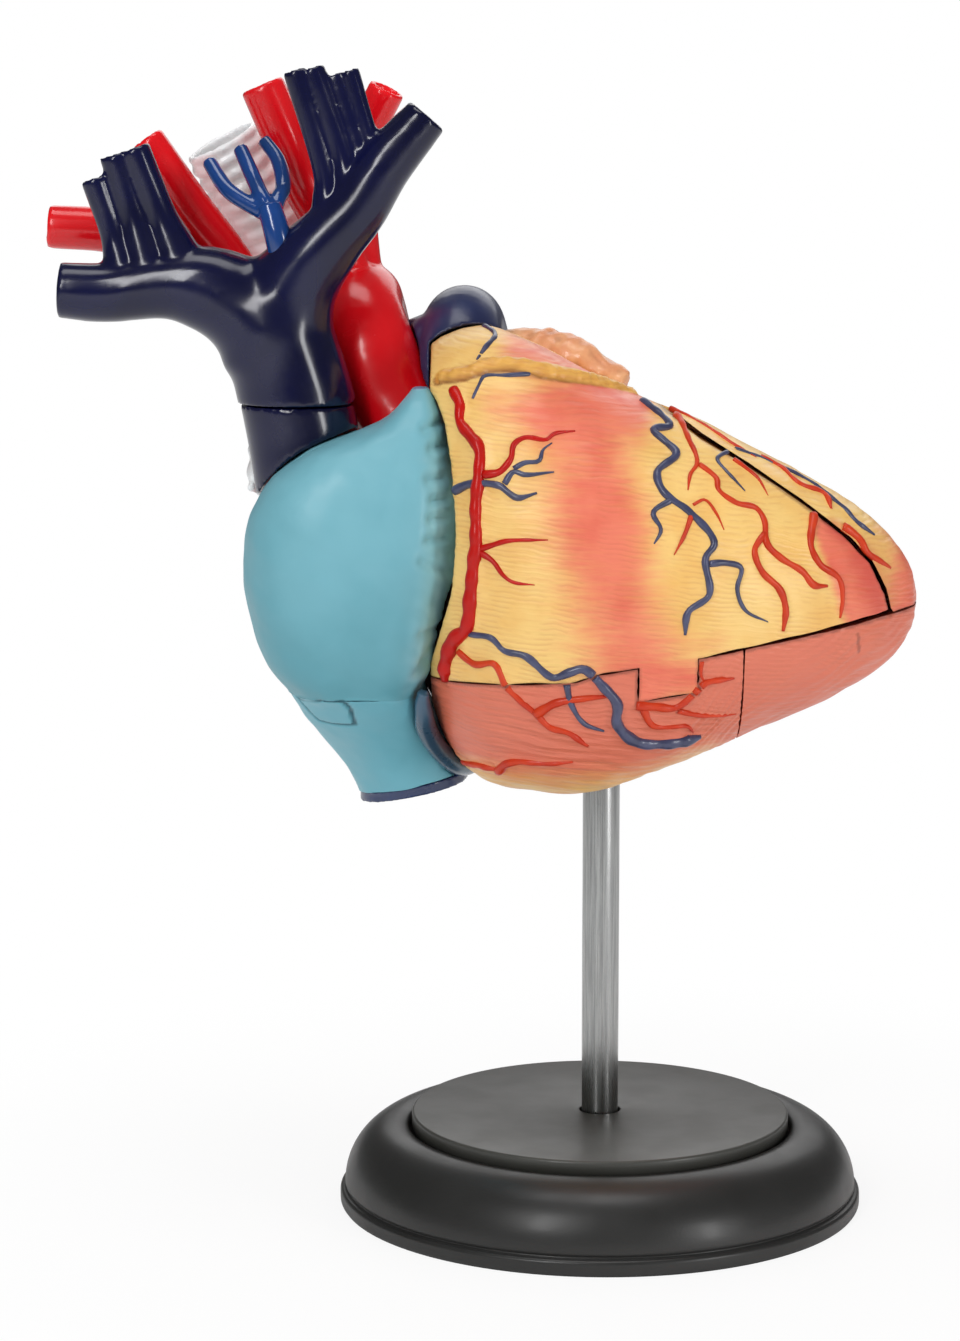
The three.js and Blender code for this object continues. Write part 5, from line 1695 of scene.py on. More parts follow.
    def build_floors(self, shell: Solid) -> None:
        """Builds the two floors, with the socket for the rod.

        Args:
            shell: The hollow skin that both are cut from, which is used up.
        """
        bore_top = self.rod_in_heart + CLEARANCE
        boss = bar((0, 0, -5), (0, 0, bore_top + self.socket_roof), self.socket_diameter / 2)
        socket = carved(boss, (Cut.KEEP, VENTRICLES.body(72, 2.0)))
        cast = carved(
            melted(carved(shell, level(self.floors_below, 2 * REACH), (Cut.ADD, socket)), self.voxel, 3),
            above(SEAMS.lower_line(), -REACH, SPLIT_Y),
            above([SEAMS.left[0], SEAMS.right[-1]], SPLIT_Y, REACH),
            bar((0, 0, -12), (0, 0, bore_top), self.rod_diameter / 2 + CLEARANCE, 64),
        )
        for name, node, other_side in (
            ("right_floor_cast", "right_ventricle_floor", slab(FLOOR_SPLIT_X - CLEARANCE / 2, REACH)),
            ("apex_floor_cast", "apex_floor", slab(-REACH, FLOOR_SPLIT_X + CLEARANCE / 2)),
        ):
            self.dressed(keep_largest(carved(cast.copy(), other_side)), name, node)
        cast.free()

    def before_seam(self) -> Solid:
        """Makes the cutter that clears the front wall's place out of the left wall."""
        across, up = SEAMS.front_way
        line = [(x + across * CLEARANCE, z + up * CLEARANCE) for x, z in SEAMS.front]
        return prism([(-REACH, line[0][1]), *line, (line[-1][0], -REACH), (-REACH, -REACH)], -REACH, SPLIT_Y)


def end_edges(body: Solid) -> list[bmesh.types.BMEdge]:
    """Finds the sharp rims at the flat ends of a bar."""
    return [edge for edge in body.edges if edge.is_manifold and edge.calc_face_angle(0.0) > 1.0]


@dataclass
class Atria:
    """Both atria, the lower vena cava and the coronary sinus."""

    paints: Paints
    voxel: float = 0.45
    creases: tuple[Pixels, ...] = (
        ((425, 429), (438, 424)), ((430, 449), (441, 446)), ((426, 480), (440, 478)),
        ((430, 500), (441, 499)), ((428, 519), (442, 517)), ((426, 540), (442, 537)),
        ((420, 562), (443, 571)), ((419, 632), (438, 622)), ((414, 670), (430, 663)),
    )
    mark: Pixels = (
        (297, 699), (320, 701), (342, 702), (350, 709), (355, 725), (341, 725), (319, 721), (308, 711),
        (297, 699),
    )
    lower_wall: float = 1.6
    liner_wall: float = 1.2
    liner_shown: float = 1.8
    liner_depth: float = 7.0
    mouth_rise: float = 4.0
    spigot_diameter: float = 13.6
    margin_rise: float = 0.8
    mark_depth: float = 0.35
    door_right: Point = (-9.0, 30.0, 7.0)
    door_left: Point = (16.0, 40.0, 6.0)

    def door(self, place: Point) -> Solid:
        """Makes the cutter for the way from an atrium to its valve, from y, z and radius."""
        y, z, radius = place
        return bar((PLATE_X - 16, y, z), (PLATE_X + 2, y, z), radius)

    def cyan(self, solid: Solid, form: OvalForm, name: str, finish: Finish, node: str, **how: Body) -> None:
        """Gives a cyan piece its soft dents, its engraved lines, its paint and a painted highlight along its
        right margin.

        Args:
            solid: The melted piece.
            form: The outer form that it was cut from.
            name: Its name.
            finish: Its slot and material.
            node: The model's node that it stands for.
            how: Its body, where that isn't the heart's core.
        """
        piece = Piece(solid, name)
        places = piece.points()
        outer = smoothstep(0.90, 0.95, form.share(places))
        target = Target(RIGHT_ATRIUM, LOWER_VENA_CAVA)
        gap = np.full(len(places), np.inf)
        for line in self.creases:
            across = np.array(target.seen(line))[:, [0, 2]]
            gap = np.minimum(gap, line_distance(places[:, [0, 2]], across))
        front = outer * smoothstep(2.0, -4.0, places[:, 1])
        left, right, before, behind = form.edges_at(places[:, 2]).T
        aside = (2 * places[:, 0] - left - right) / (right - left)
        ahead = (before + behind - 2 * places[:, 1]) / (behind - before)
        margin = outer * smoothstep(0.3, 0.72, aside) * smoothstep(0.12, 0.55, ahead)
        margin *= smoothstep(14.0, 22.0, places[:, 2]) * smoothstep(60.0, 50.0, places[:, 2])
        groove = 1.0 - smoothstep(0.15, 0.55, line_distance(places, np.array(target.seen(self.mark))))
        heights = outer * (0.22 * lumps(places, 15.0) + 0.06 * lumps(places, 6.0))
        heights += front * (0.2 * np.exp(-(((gap - 1.5) / 0.9) ** 2)) - 0.38 * np.exp(-((gap / 0.6) ** 2)))
        heights += self.margin_rise * margin - outer * groove * self.mark_depth
        patchy = 0.6 + 0.4 * smoothstep(-0.3, 0.5, lumps(places, 5.0))
        piece.raised(heights)
        # Painted highlight: the outer part of the right margin is painted lighter, in patches.
        light = margin * smoothstep(0.6, 0.86, aside) * patchy
        piece.painted(outer=outer, crease=outer * groove * 0.8, margin=light)
        piece.done(finish, node, sharp=True, **how)

    def build(self) -> None:
        """Builds every piece of the atria."""
        room, foot = RIGHT_ATRIUM.grown(-ATRIUM_WALL, first=0.0), RIGHT_ATRIUM.rows[0][0]
        x, y, z, _ = SVC_LOWER[0]
        port = bar((x, y, z - 10), (x, y, z + 20), self.spigot_diameter / 2)
        right = carved(
            RIGHT_ATRIUM.body(128, 0.8, start=foot - 1.5),
            room.body(72, 1.6, start=foot - 5),
            carved(port, (Cut.KEEP, RIGHT_ATRIUM.grown(-0.9).body(96, 1.2))),
            self.door(self.door_right),
            room_for(AORTA),
        )
        right = carved(melted(right, self.voxel, 2), level(-REACH, foot))
        front = carved(right.copy(), (Cut.KEEP, slab(-REACH, REACH, -REACH, ATRIUM_SPLIT_Y - CLEARANCE)))
        back = carved(right, (Cut.KEEP, slab(-REACH, REACH, ATRIUM_SPLIT_Y, REACH)))
        for side, half, body in (("front", front, Body.ATRIUM_FRONT), ("back", back, Body.CORE)):
            name, node = f"atrium_{side}_cast", f"right_atrium_{side}"
            self.cyan(keep_largest(half), RIGHT_ATRIUM, name, self.paints.atrium, node, body=body)
        self.build_lower_vena_cava()
        self.build_left()
        sinus = melted(tube(CORONARY_SINUS, 32, 10), 0.3, 3)
        finished(sinus, "sinus_vein", self.paints.sinus, "coronary_sinus")

    def below_mouth(self, drop: float) -> Solid:
        """Makes everything below the lower vena cava's mouth, which rises to the right."""
        bottom, left, right = LOWER_VENA_CAVA.rows[0][:3]
        slope = self.mouth_rise / (right - left)
        low, high = bottom - drop - 5 * slope, bottom - drop + self.mouth_rise + 5 * slope
        return prism([(left - 5, low), (left - 5, -REACH), (right + 5, -REACH), (right + 5, high)])

    def build_lower_vena_cava(self) -> None:
        """Builds the cyan trunk below the atrium and the navy liner in its mouth."""
        form = LOWER_VENA_CAVA
        bottom, top = form.rows[0][0], form.rows[-1][0]
        ventricles = VENTRICLES.room()
        trunk = carved(
            form.body(128, 0.6, bottom - 1.5, top + 1.5),
            form.grown(-self.lower_wall, 0.0, 0.0).body(96, 1.2, bottom - 5, top + 5),
            ventricles.copy(),
            room_for(CORONARY_SINUS, 24),
        )
        trunk = keep_largest(carved(melted(trunk, 0.4, 2), level(top, 2 * REACH), self.below_mouth(0.0)))
        # The lower vena cava takes the lightened copy of the atrium paint.
        self.cyan(trunk, form, "vena_cava_cast", self.paints.vena_cava_lightened, "inferior_vena_cava")
        inset = self.lower_wall + CLEARANCE
        lip = bottom - self.liner_shown
        rim = form.grown(-0.15, 0.0, 0.0).body(128, 0.6, lip, bottom + self.mouth_rise + 2)
        hollow = form.grown(-inset - self.liner_wall, 0.0, 0.0)
        liner = carved(
            form.grown(-inset, 0.0, 0.0).body(128, 0.6, lip, lip + self.liner_depth),
            (Cut.ADD, carved(rim, (Cut.KEEP, self.below_mouth(0.03)))),
            hollow.body(96, 1.2, lip - 5, lip + self.liner_depth + 5),
            self.below_mouth(self.liner_shown),
            ventricles,
        )
        finished(melted(liner, 0.25, 2), "mouth_liner", self.paints.liner, "ivc_liner")

    def build_left(self) -> None:
        """Builds the left atrium."""
        body = carved(
            LEFT_ATRIUM.body(112, 0.8),
            LEFT_ATRIUM.grown(-ATRIUM_WALL).body(64, 1.6),
            self.door(self.door_left),
            room_for(AORTA),
            room_for(RIGHT_PULMONARY, 32),
            RIGHT_ATRIUM.room(64),
        )
        piece = Piece(melted(body, self.voxel, 3), "left_atrium_cast")
        places = piece.points()
        outer = smoothstep(0.88, 0.94, LEFT_ATRIUM.share(places))
        swell = lumps(places, 13.0)
        piece.raised(outer * 0.35 * swell)
        # Painted shade in the hollows between the swellings.
        piece.painted(crease=outer * smoothstep(-0.2, -1.0, swell) * 0.12)
        piece.done(self.paints.left_atrium, "left_atrium")


RIGHT_PULMONARY: Path = (
    (-24, 17, 71, 5), (-33, 23, 67, 5), (-43, 21.5, 62, 4.9), (-50, 17.3, 57, 4.8), (-54.5, 13.5, 53, 4.6),
)
BRACHIOCEPHALIC: Path = (
    (-42, 13, 77, 4.2), (-50, 12.5, 76.5, 4.2), (-57, 12.5, 77.5, 4), (-64, 12.5, 80.5, 3.8),
    (-70, 12.3, 84.5, 3.7), (-78, 12, 87.8, 3.6), (-89.5, 12, 88.8, 3.5),
)


@dataclass
class GreatArteries:
    """The aorta with its branches, and the pulmonary artery."""

    paints: Paints
    right_carotid: Path = ((-56, 12.5, 77.5, 3), (-60, 12.5, 84, 3), (-66, 12, 92, 3), (-73.5, 12, 103, 2.8))
    left_carotid: Path = (
        (-39.8, 15.5, 77, 3.5), (-42.4, 15, 85.5, 3.5), (-47.2, 13, 93.5, 3.6), (-51.2, 12, 103, 3.6),
        (-54.8, 12, 111.5, 3.6),
    )
    fork: Path = ((-22.5, 12, 70.5, 7), (-26.5, 12.5, 69.2, 6), (-30.3, 13, 66.9, 5))
    left_subclavian: Path = (
        (-38.6, 19, 78, 3.2), (-39.5, 18.4, 87, 3.2), (-40.2, 17, 95, 3.2), (-38.8, 15, 100.3, 3.1),
        (-37.5, 14, 105, 3), (-34.6, 13, 110.9, 3),
    )
    voxel: float = 0.4

    def build(self) -> None:
        """Builds the arteries, cast in one with smooth forks, and the pulmonary trunk."""
        branches = (BRACHIOCEPHALIC, self.right_carotid, self.left_carotid, self.left_subclavian)
        trunk = carved(tube(AORTA, 64, 8), (Cut.KEEP, slab(-REACH, PLATE_X - 2 * CLEARANCE)))
        cast = melted(merged([trunk, *[tube(path, 40, 8) for path in branches]]), self.voxel, 5)
        cast = melted(carved(cast, *[mouth(path) for path in (AORTA, *branches)]), self.voxel, 2)
        nodes = ("aorta", "brachiocephalic_artery", "left_common_carotid", "left_subclavian_artery")
        finished(cast, "aorta_cast", self.paints.artery, *nodes)
        lung = [tube(path, 56, 8) for path in (PULMONARY, RIGHT_PULMONARY, self.fork)]
        cast = carved(
            melted(merged(lung), self.voxel, 6),
            mouth(PULMONARY),
            mouth(RIGHT_PULMONARY),
            VENTRICLES.room(),
            room_for(AORTA),
        )
        nodes = ("pulmonary_artery", "right_pulmonary_artery")
        finished(melted(cast, self.voxel, 2), "pulmonary_cast", self.paints.pulmonary, *nodes)


@dataclass
class GreatVeins:
    """The upper vena cava with its branches, which pull off its stub, and the thyroid veins."""

    paints: Paints
    joint_z: float = 61.2
    pull: Point = (-0.25, -0.05, 0.967)
    spigot_diameter: float = 13.6
    spigot_length: float = 5.0
    voxel: float = 0.42
    root: Row = (-46.7, -2.3, 48.6, 8.9)
    collar: Path = ((-48.3, -2, 59.5, 9.2), (-49.3, -2, 63.5, 9), (-50, -2, 66, 8.6))
    upper: Path = (
        (-48.3, -2, 59.5, 9.2), (-50.5, -2, 68, 8.8), (-52.8, -2.5, 74.5, 8.6), (-53.5, -3, 79, 7.5),
    )
    right: Path = (
        (-55, -3, 76, 7), (-62, -3, 80, 6.2), (-70, -3, 80.2, 5.2), (-79, -3, 79, 4.6),
        (-86.3, -3, 79.4, 4.4),
    )
    right_twigs: tuple[Path, ...] = (
        ((-75, -3, 80, 2.2), (-77.5, -3, 88, 2.2), (-80.5, -3, 97, 2.2)),
        ((-71.5, -3, 81, 2.4), (-74.3, -3, 91, 2.4), (-77.3, -3, 100.7, 2.4)),
        ((-66, -3, 81, 2.6), (-70, -3, 91, 2.6), (-74.2, -3, 101.7, 2.6)),
    )
    left: Path = (
        (-51, -3, 75, 6.6), (-46.6, -5, 84, 5.8), (-39.3, -6, 91.8, 4.7), (-35, -6, 98.5, 4.3),
        (-28, -5.5, 106.7, 3.5),
    )
    left_twigs: tuple[Path, ...] = (
        ((-43, -5.5, 90, 2), (-43.8, -6, 97, 2), (-48.6, -5, 113.8, 2)),
        ((-39.5, -6, 93, 2), (-41, -6, 100, 2), (-46, -5, 114.1, 2)),
        ((-37.5, -6, 96, 1.4), (-38.6, -6, 101.5, 1.4), (-42.5, -5, 113.2, 1.3)),
        ((-35.5, -6, 98, 1.6), (-36.6, -6, 102, 1.6), (-40.2, -5, 113.8, 1.6)),
    )
    forks: tuple[Path, ...] = (
        (
            (-49.3, -2, 63, 8.3), (-51.0, -2.4, 71, 8.1), (-49.4, -3.6, 79.5, 7.0), (-44, -5.2, 86.8, 5.6),
            (-39.3, -6, 91.8, 4.6),
        ),
        ((-49.8, -2, 64, 8.2), (-52.8, -2.4, 72, 8.2), (-58.8, -2.9, 77.4, 6.9), (-66, -3, 79.9, 5.6)),
        ((-53, -2.8, 68, 7.6), (-54, -2.9, 74, 6.8)),
        ((-62, -2.9, 79.2, 5.8), (-57.5, -2.8, 77.2, 5.5), (-54, -2.9, 77.4, 5.6), (-49.5, -4.1, 81, 6.2)),
    )
    thyroid_trunk: Path = ((-50.5, -6, 83, 2.1), (-51.6, -6, 88.6, 2.1), (-52.9, -5, 92.8, 1.9))
    thyroid_prongs: tuple[Path, ...] = (
        ((-52.6, -5.2, 91.2, 1.4), (-55.9, -4, 92.8, 1.3), (-59.5, -2, 95.1, 1.3), (-62.7, 2, 99.4, 1.2)),
        ((-52.8, -5, 92, 1.4), (-54, -4, 94, 1.3), (-55.8, 0, 97.4, 1.3), (-57.8, 3, 101.5, 1.2)),
        (
            (-52.4, -5, 91, 1.4), (-51.6, -3.4, 93.5, 1.3), (-50.8, -1, 95.4, 1.3), (-51.8, 2, 99.7, 1.2),
            (-54.1, 4, 102.8, 1.1),
        ),
    )

    def spigot(self, start: float, end: float, radius: float) -> Solid:
        """Makes a bar along the way the veins pull off, between two distances from the joint."""
        middle = Vector((SVC_LOWER[-1][0], SVC_LOWER[-1][1], self.joint_z))
        way = Vector(self.pull).normalized()
        return bar(middle + way * start, middle + way * end, radius, 64)

    def build(self) -> None:
        """Builds the stub, the tree of veins and the thyroid veins."""
        radius = self.spigot_diameter / 2
        stub = carved(
            tube((self.root, *SVC_LOWER), 64, 8),
            level(self.joint_z, REACH + self.joint_z),
            (Cut.ADD, self.spigot(-2.0, self.spigot_length, radius)),
            RIGHT_ATRIUM.room(),
        )
        finished(melted(stub, 0.4, 2), "vena_cava_stub", self.paints.navy, "svc_stub")
        twigs = (*self.right_twigs, *self.left_twigs)
        limbs = [tube(path, 56, 8, grow=0.25) for path in (self.upper, self.right, self.left, *self.forks)]
        ends = [tube(path, 56, 8) for path in (self.collar, self.right[2:], self.left[3:])]
        ends += [tube(flared(path), 28, 8) for path in twigs]
        tree = carved(
            melted(merged([melted(merged(limbs), 0.8, 22), *ends]), 0.34, 5),
            level(self.joint_z - REACH, self.joint_z + CLEARANCE),
            self.spigot(-4.0, self.spigot_length + CLEARANCE, radius + CLEARANCE),
            mouth(self.right),
            mouth(self.left),
            *[mouth(path, 0.8) for path in twigs],
        )
        nodes = ("svc_upper", "right_brachiocephalic_vein", "left_brachiocephalic_vein")
        finished(melted(tree, 0.38, 1), "vein_tree_cast", self.paints.navy, *nodes, body=Body.VEIN_TREE)
        prongs = [tube(path, 24, 8) for path in self.thyroid_prongs]
        cast = melted(merged([tube(self.thyroid_trunk, 40, 8), *prongs]), 0.25, 5)
        finished(cast, "thyroid_cast", self.paints.thyroid, "thyroid_veins", body=Body.VEIN_TREE)


TRACHEA: Path = ((-61.9, 20, 102.3, 6.4), (-52.3, 23.2, 84, 6.3), (-47.5, 26.5, 74, 6.1), (-46, 29.5, 68, 6))
RIGHT_BRONCHUS: Path = (
    (-47, 29.5, 69, 4), (-52, 27.5, 60, 3.9), (-54.3, 23.5, 51.5, 3.8), (-54.5, 19, 45.5, 3.7),
)
LEFT_BRONCHUS: Path = (
    (-45, 30.5, 68, 3.8), (-42.5, 32.5, 63.5, 3.8), (-37, 36, 59.5, 3.8), (-30, 39.5, 56, 3.8),
)


@dataclass
class BackOfHeart:
    """The windpipe, the pulmonary veins and the left auricle."""

    paints: Paints
    bore: float = 10.4
    bore_depth: float = 12.0
    ring_pitch: float = 2.6
    pulmonary_veins: tuple[tuple[str, Path], ...] = (
        ("right_upper_pulmonary_vein", ((-46, 29, 48, 3.2), (-52, 32, 48.4, 3.2), (-57, 35, 49, 3.2))),
        ("right_lower_pulmonary_vein", ((-46, 28, 38.5, 3.2), (-52, 28.5, 37.2, 3.2), (-57, 29, 36, 3.2))),
        ("left_upper_pulmonary_vein", ((-27, 33, 49.5, 3.2), (-21.5, 37.5, 53, 3.2), (-17, 41, 56, 3.2))),
        ("left_lower_pulmonary_vein", ((-28, 34, 38, 3.2), (-22, 39.5, 39.5, 3.2), (-17, 43, 40, 3.2))),
    )
    auricle: Path = (
        (-24, 24, 62, 3.5), (-18, 21, 66.5, 4.4), (-12, 17, 68.5, 4.1), (-5, 13, 67, 4.6),
        (-1, 11.5, 65, 3.9), (4, 10, 62.5, 3.5),
    )

    def windpipe(self) -> None:
        """Builds the windpipe and its two branches as one ribbed casting."""
        limbs = [tube(path, 56, 10) for path in (TRACHEA, RIGHT_BRONCHUS, LEFT_BRONCHUS)]
        top = Vector(TRACHEA[0][:3])
        way = (top - Vector(TRACHEA[1][:3])).normalized()
        body = carved(
            melted(merged(limbs), 0.45, 5),
            bar(top - way * self.bore_depth, top + way * 3, self.bore / 2, 48),
            mouth(RIGHT_BRONCHUS, 2.0),
            mouth(LEFT_BRONCHUS, 2.0),
            room_for(AORTA),
            room_for(RIGHT_PULMONARY, 32),
            LEFT_ATRIUM.room(64),
        )
        piece = Piece(melted(body, 0.42, 2), "windpipe_cast")
        places = piece.points()
        along = places @ np.array(way)
        rings = np.sin(2 * math.pi * along / self.ring_pitch + 0.6 * lumps(places, 9.0))
        heights = 0.22 * rings + 0.07 * lumps(places, 4.6)
        piece.raised(heights)
        # Painted shade in the grooves between the rings.
        piece.painted(crease=smoothstep(-0.08, -0.3, heights) * 0.4)
        piece.done(self.paints.cartilage, "trachea", "right_bronchus", "left_bronchus")

    def build(self) -> None:
        """Builds every piece at the back."""
        self.windpipe()
        for name, path in self.pulmonary_veins:
            body = carved(tube(path, 48, 10), mouth(path), LEFT_ATRIUM.room(64))
            short = name.replace("_pulmonary_vein", "_lung_vein")
            finished(melted(body, 0.3, 3), short, self.paints.artery, name)
        self.build_auricle()

    def build_auricle(self) -> None:
        """Builds the lobed left auricle."""
        lobes = [tube(self.auricle, 40, 8, grow=-0.5)]
        rows = smooth_points(self.auricle, 4)
        for number, (x, y, z, radius) in enumerate(rows[2:-1]):
            lobe = bmesh.new()
            turn = 2.4 * number
            size = radius * (0.55 + 0.08 * math.sin(1.7 * number))
            place = Vector((x, y + 0.45 * radius * math.sin(turn), z + 0.34 * radius * abs(math.cos(turn))))
            bmesh.ops.create_icosphere(lobe, subdivisions=3, radius=size, matrix=Matrix.Translation(place))
            lobes.append(lobe)
        body = carved(
            melted(merged(lobes), 0.4, 6),
            VENTRICLES.room(96, 1.2),
            room_for(PULMONARY),
            LEFT_ATRIUM.room(64),
            room_for(AORTA),
            slab(-REACH, REACH, -REACH, SPLIT_Y),
        )
        piece = Piece(melted(body, 0.35, 1), "auricle_cast")
        swell = lumps(piece.points(), 4.0)
        piece.raised(0.22 * swell)
        # Painted shade in the hollows between the lumps.
        piece.painted(crease=smoothstep(-0.3, -0.8, swell) * 0.3)
        piece.done(self.paints.auricle, "left_auricle")


@dataclass
class Chambers:
    """What the two chambers hold: septum, valve plate, valves, papillary muscles and their cords."""

    paints: Paints
    tricuspid: Row = (-9.0, 30.0, 16.0, 9.0, 11.0)
    mitral: Row = (16.0, 40.0, 14.0, 8.0, 11.0)
    aortic: Row = (4.0, 50.0, 10.0, 3.0)
    septum_front: float = 2.0
    septum_thickness: float = 4.0
    rod_room: Row = (17.6, 6.3)
    peg_room: Row = (3.1, 1.8)
    cusp_wall: float = 1.2
    fold_depth: float = 2.6
    strands: int = 4
    muscles: tuple[Path, ...] = (
        ((6, -14, -4, 4.4), (4, -13, 10, 3.2), (1, -12, 24, 1.4)),
        ((19, -10, 0, 4), (16, -10, 14, 2.8), (11, -10, 26, 1.2)),
        ((14, 15, -2, 4.4), (10, 14.5, 14, 3.2), (4, 15, 30, 1.4)),
    )

    def room(self) -> Solid:
        """Makes the space inside the ventricle walls, less a clearance."""
        chamber = VENTRICLES.grown(-VENTRICLE_WALL - CLEARANCE, first=0.0)
        return chamber.body(96, 1.2, start=chamber.rows[0][0] - 10)

    def build(self) -> None:
        """Builds every inner piece."""
        plate = carved(
            slab(PLATE_X, PLATE_X + PLATE_THICKNESS),
            (Cut.KEEP, self.room()),
            *[
                bar((PLATE_X - 5, y, z), (PLATE_X + 5, y, z), width / 2, 64)
                for y, z, width, *_ in (self.tricuspid, self.mitral, self.aortic)
            ],
        )
        self.lumpy(melted(plate, 0.4, 2), "valve_plate_cast", self.paints.ivory, "valve_plate", 0.08)
        y, z, width, dome = self.aortic
        near, back = PLATE_X + PLATE_THICKNESS + CLEARANCE, self.septum_front + self.septum_thickness
        roof, radius = self.rod_room
        septum = carved(
            slab(near, REACH, self.septum_front, back),
            (Cut.KEEP, self.room()),
            bar((0, 0, -5), (0, 0, roof), radius, 48),
            bar((PLATE_X, y, z), (near + dome, y, z), width / 2, 48),
            *peg_bars(*self.peg_room),
        )
        self.lumpy(melted(septum, 0.45, 2), "septum_cast", self.paints.inner, "septum", 0.35)
        for number, path in enumerate(self.muscles, start=1):
            muscle = melted(carved(tube(path, 32, 10), (Cut.KEEP, self.room())), 0.35, 2)
            self.lumpy(muscle, f"papillary_{number}", self.paints.inner, f"papillary_muscle_{number}", 0.25)
        self.funnel(self.tricuspid, "tricuspid")
        self.funnel(self.mitral, "mitral")
        self.aortic_dome()
        self.cords("tricuspid_cords", self.tricuspid, self.muscles[:2])
        self.cords("mitral_cords", self.mitral, self.muscles[2:])

    def lumpy(self, solid: Solid, name: str, finish: Finish, node: str, height: float) -> None:
        """Finishes an inner piece with low cords of muscle on it, with painted shade between them."""
        piece = Piece(solid, name)
        swell = lumps(piece.points(), 6.0)
        piece.raised(height * (np.abs(swell) - 0.4))
        # Painted shade in the low grooves between the cords.
        piece.painted(crease=(1.0 - smoothstep(0.02, 0.16, np.abs(swell))) * 0.6)
        piece.done(finish, node)

    def seated(self, body: Solid, y: float, z: float) -> Solid:
        """Lays a valve that was turned round Z into its opening in the plate."""
        bmesh.ops.rotate(body, verts=body.verts, cent=(0, 0, 0), matrix=Matrix.Rotation(math.pi / 2, 3, "Y"))
        bmesh.ops.translate(body, verts=body.verts, vec=(PLATE_X, y, z))
        return body

    def folds(self, places: np.ndarray, y: float, z: float, turn: float = 0.0) -> np.ndarray:
        """Says how far places are from the three folds round a valve's middle, from 0 to 1."""
        return np.abs(np.sin(1.5 * np.arctan2(places[:, 2] - z, places[:, 1] - y) + turn))

    def funnel(self, valve: Row, name: str) -> None:
        """Builds the cusps of a valve, which hang from the plate as a soft funnel.

        Args:
            valve: Its place along Y and Z, its width, its throat and its length.
            name: The valve's own name.
        """
        y, z, width, throat, length = valve
        wide, narrow, wall = width / 2 - CLEARANCE, throat / 2, self.cusp_wall
        outside = [(wide - wall, 0), (wide, 0), (wide, PLATE_THICKNESS), (narrow + wall, length)]
        inside = [(narrow, length), (wide - wall, PLATE_THICKNESS), (wide - wall, 0)]
        body = self.seated(turned([*outside, *inside], 96), y, z)
        piece = Piece(melted(body, 0.3, 3), f"{name}_cusps")
        places = piece.points()
        out = smoothstep(PLATE_X + 2, PLATE_X + length, places[:, 0])
        folds = self.folds(places, y, z, 0.4)
        places[:, 0] -= out * self.fold_depth * (1.0 - folds)
        piece.placed(places)
        # Painted shade in the folds of the cusps.
        piece.painted(crease=out * (1.0 - smoothstep(0.0, 0.25, folds)) * 0.6)
        piece.done(self.paints.ivory, f"{name}_valve")

    def aortic_dome(self) -> None:
        """Builds the three small cusps of the aortic valve as one dome with folds."""
        y, z, width, dome = self.aortic
        radius = width / 2 - CLEARANCE
        body = turned([(0, 0), (radius, 0), *arc((0, PLATE_THICKNESS), (radius, dome), 0, 90)], 72)
        piece = Piece(melted(self.seated(body, y, z), 0.25, 2), "aortic_cusps")
        places = piece.points()
        out = smoothstep(PLATE_X + PLATE_THICKNESS, PLATE_X + PLATE_THICKNESS + 1, places[:, 0])
        folds = self.folds(places, y, z)
        piece.raised(-out * 0.5 * (1.0 - smoothstep(0.0, 0.35, folds)))
        # Painted shade in the folds of the dome.
        piece.painted(crease=out * (1.0 - smoothstep(0.0, 0.2, folds)) * 0.7)
        piece.done(self.paints.ivory, "aortic_valve")

    def cords(self, name: str, valve: Row, muscles: tuple[Path, ...]) -> None:
        """Builds the tendon cords from the muscles' tips to the rims of the cusps.

        Args:
            name: The piece's name.
            valve: The valve's place along Y and Z, its width, its throat and its length.
            muscles: The papillary muscles that its cords start from.
        """
        y, z, _, throat, length = valve
        reach = throat / 2 + 0.4
        threads = []
        for index, path in enumerate(muscles):
            tip = path[-1][:3]
            for strand in range(self.strands):
                angle = math.radians(-60 + 40 * strand + 120 * index)
                rim = (PLATE_X + length - 1.2, y + reach * math.cos(angle), z + reach * math.sin(angle))
                middle = [(a + b) / 2 for a, b in zip(tip, rim)]
                middle[2] -= 0.6
                threads.append(tube(((*tip, 0.35), (*middle, 0.25), (*rim, 0.3)), 10, 6))
        finished(merged(threads), name, self.paints.ivory)


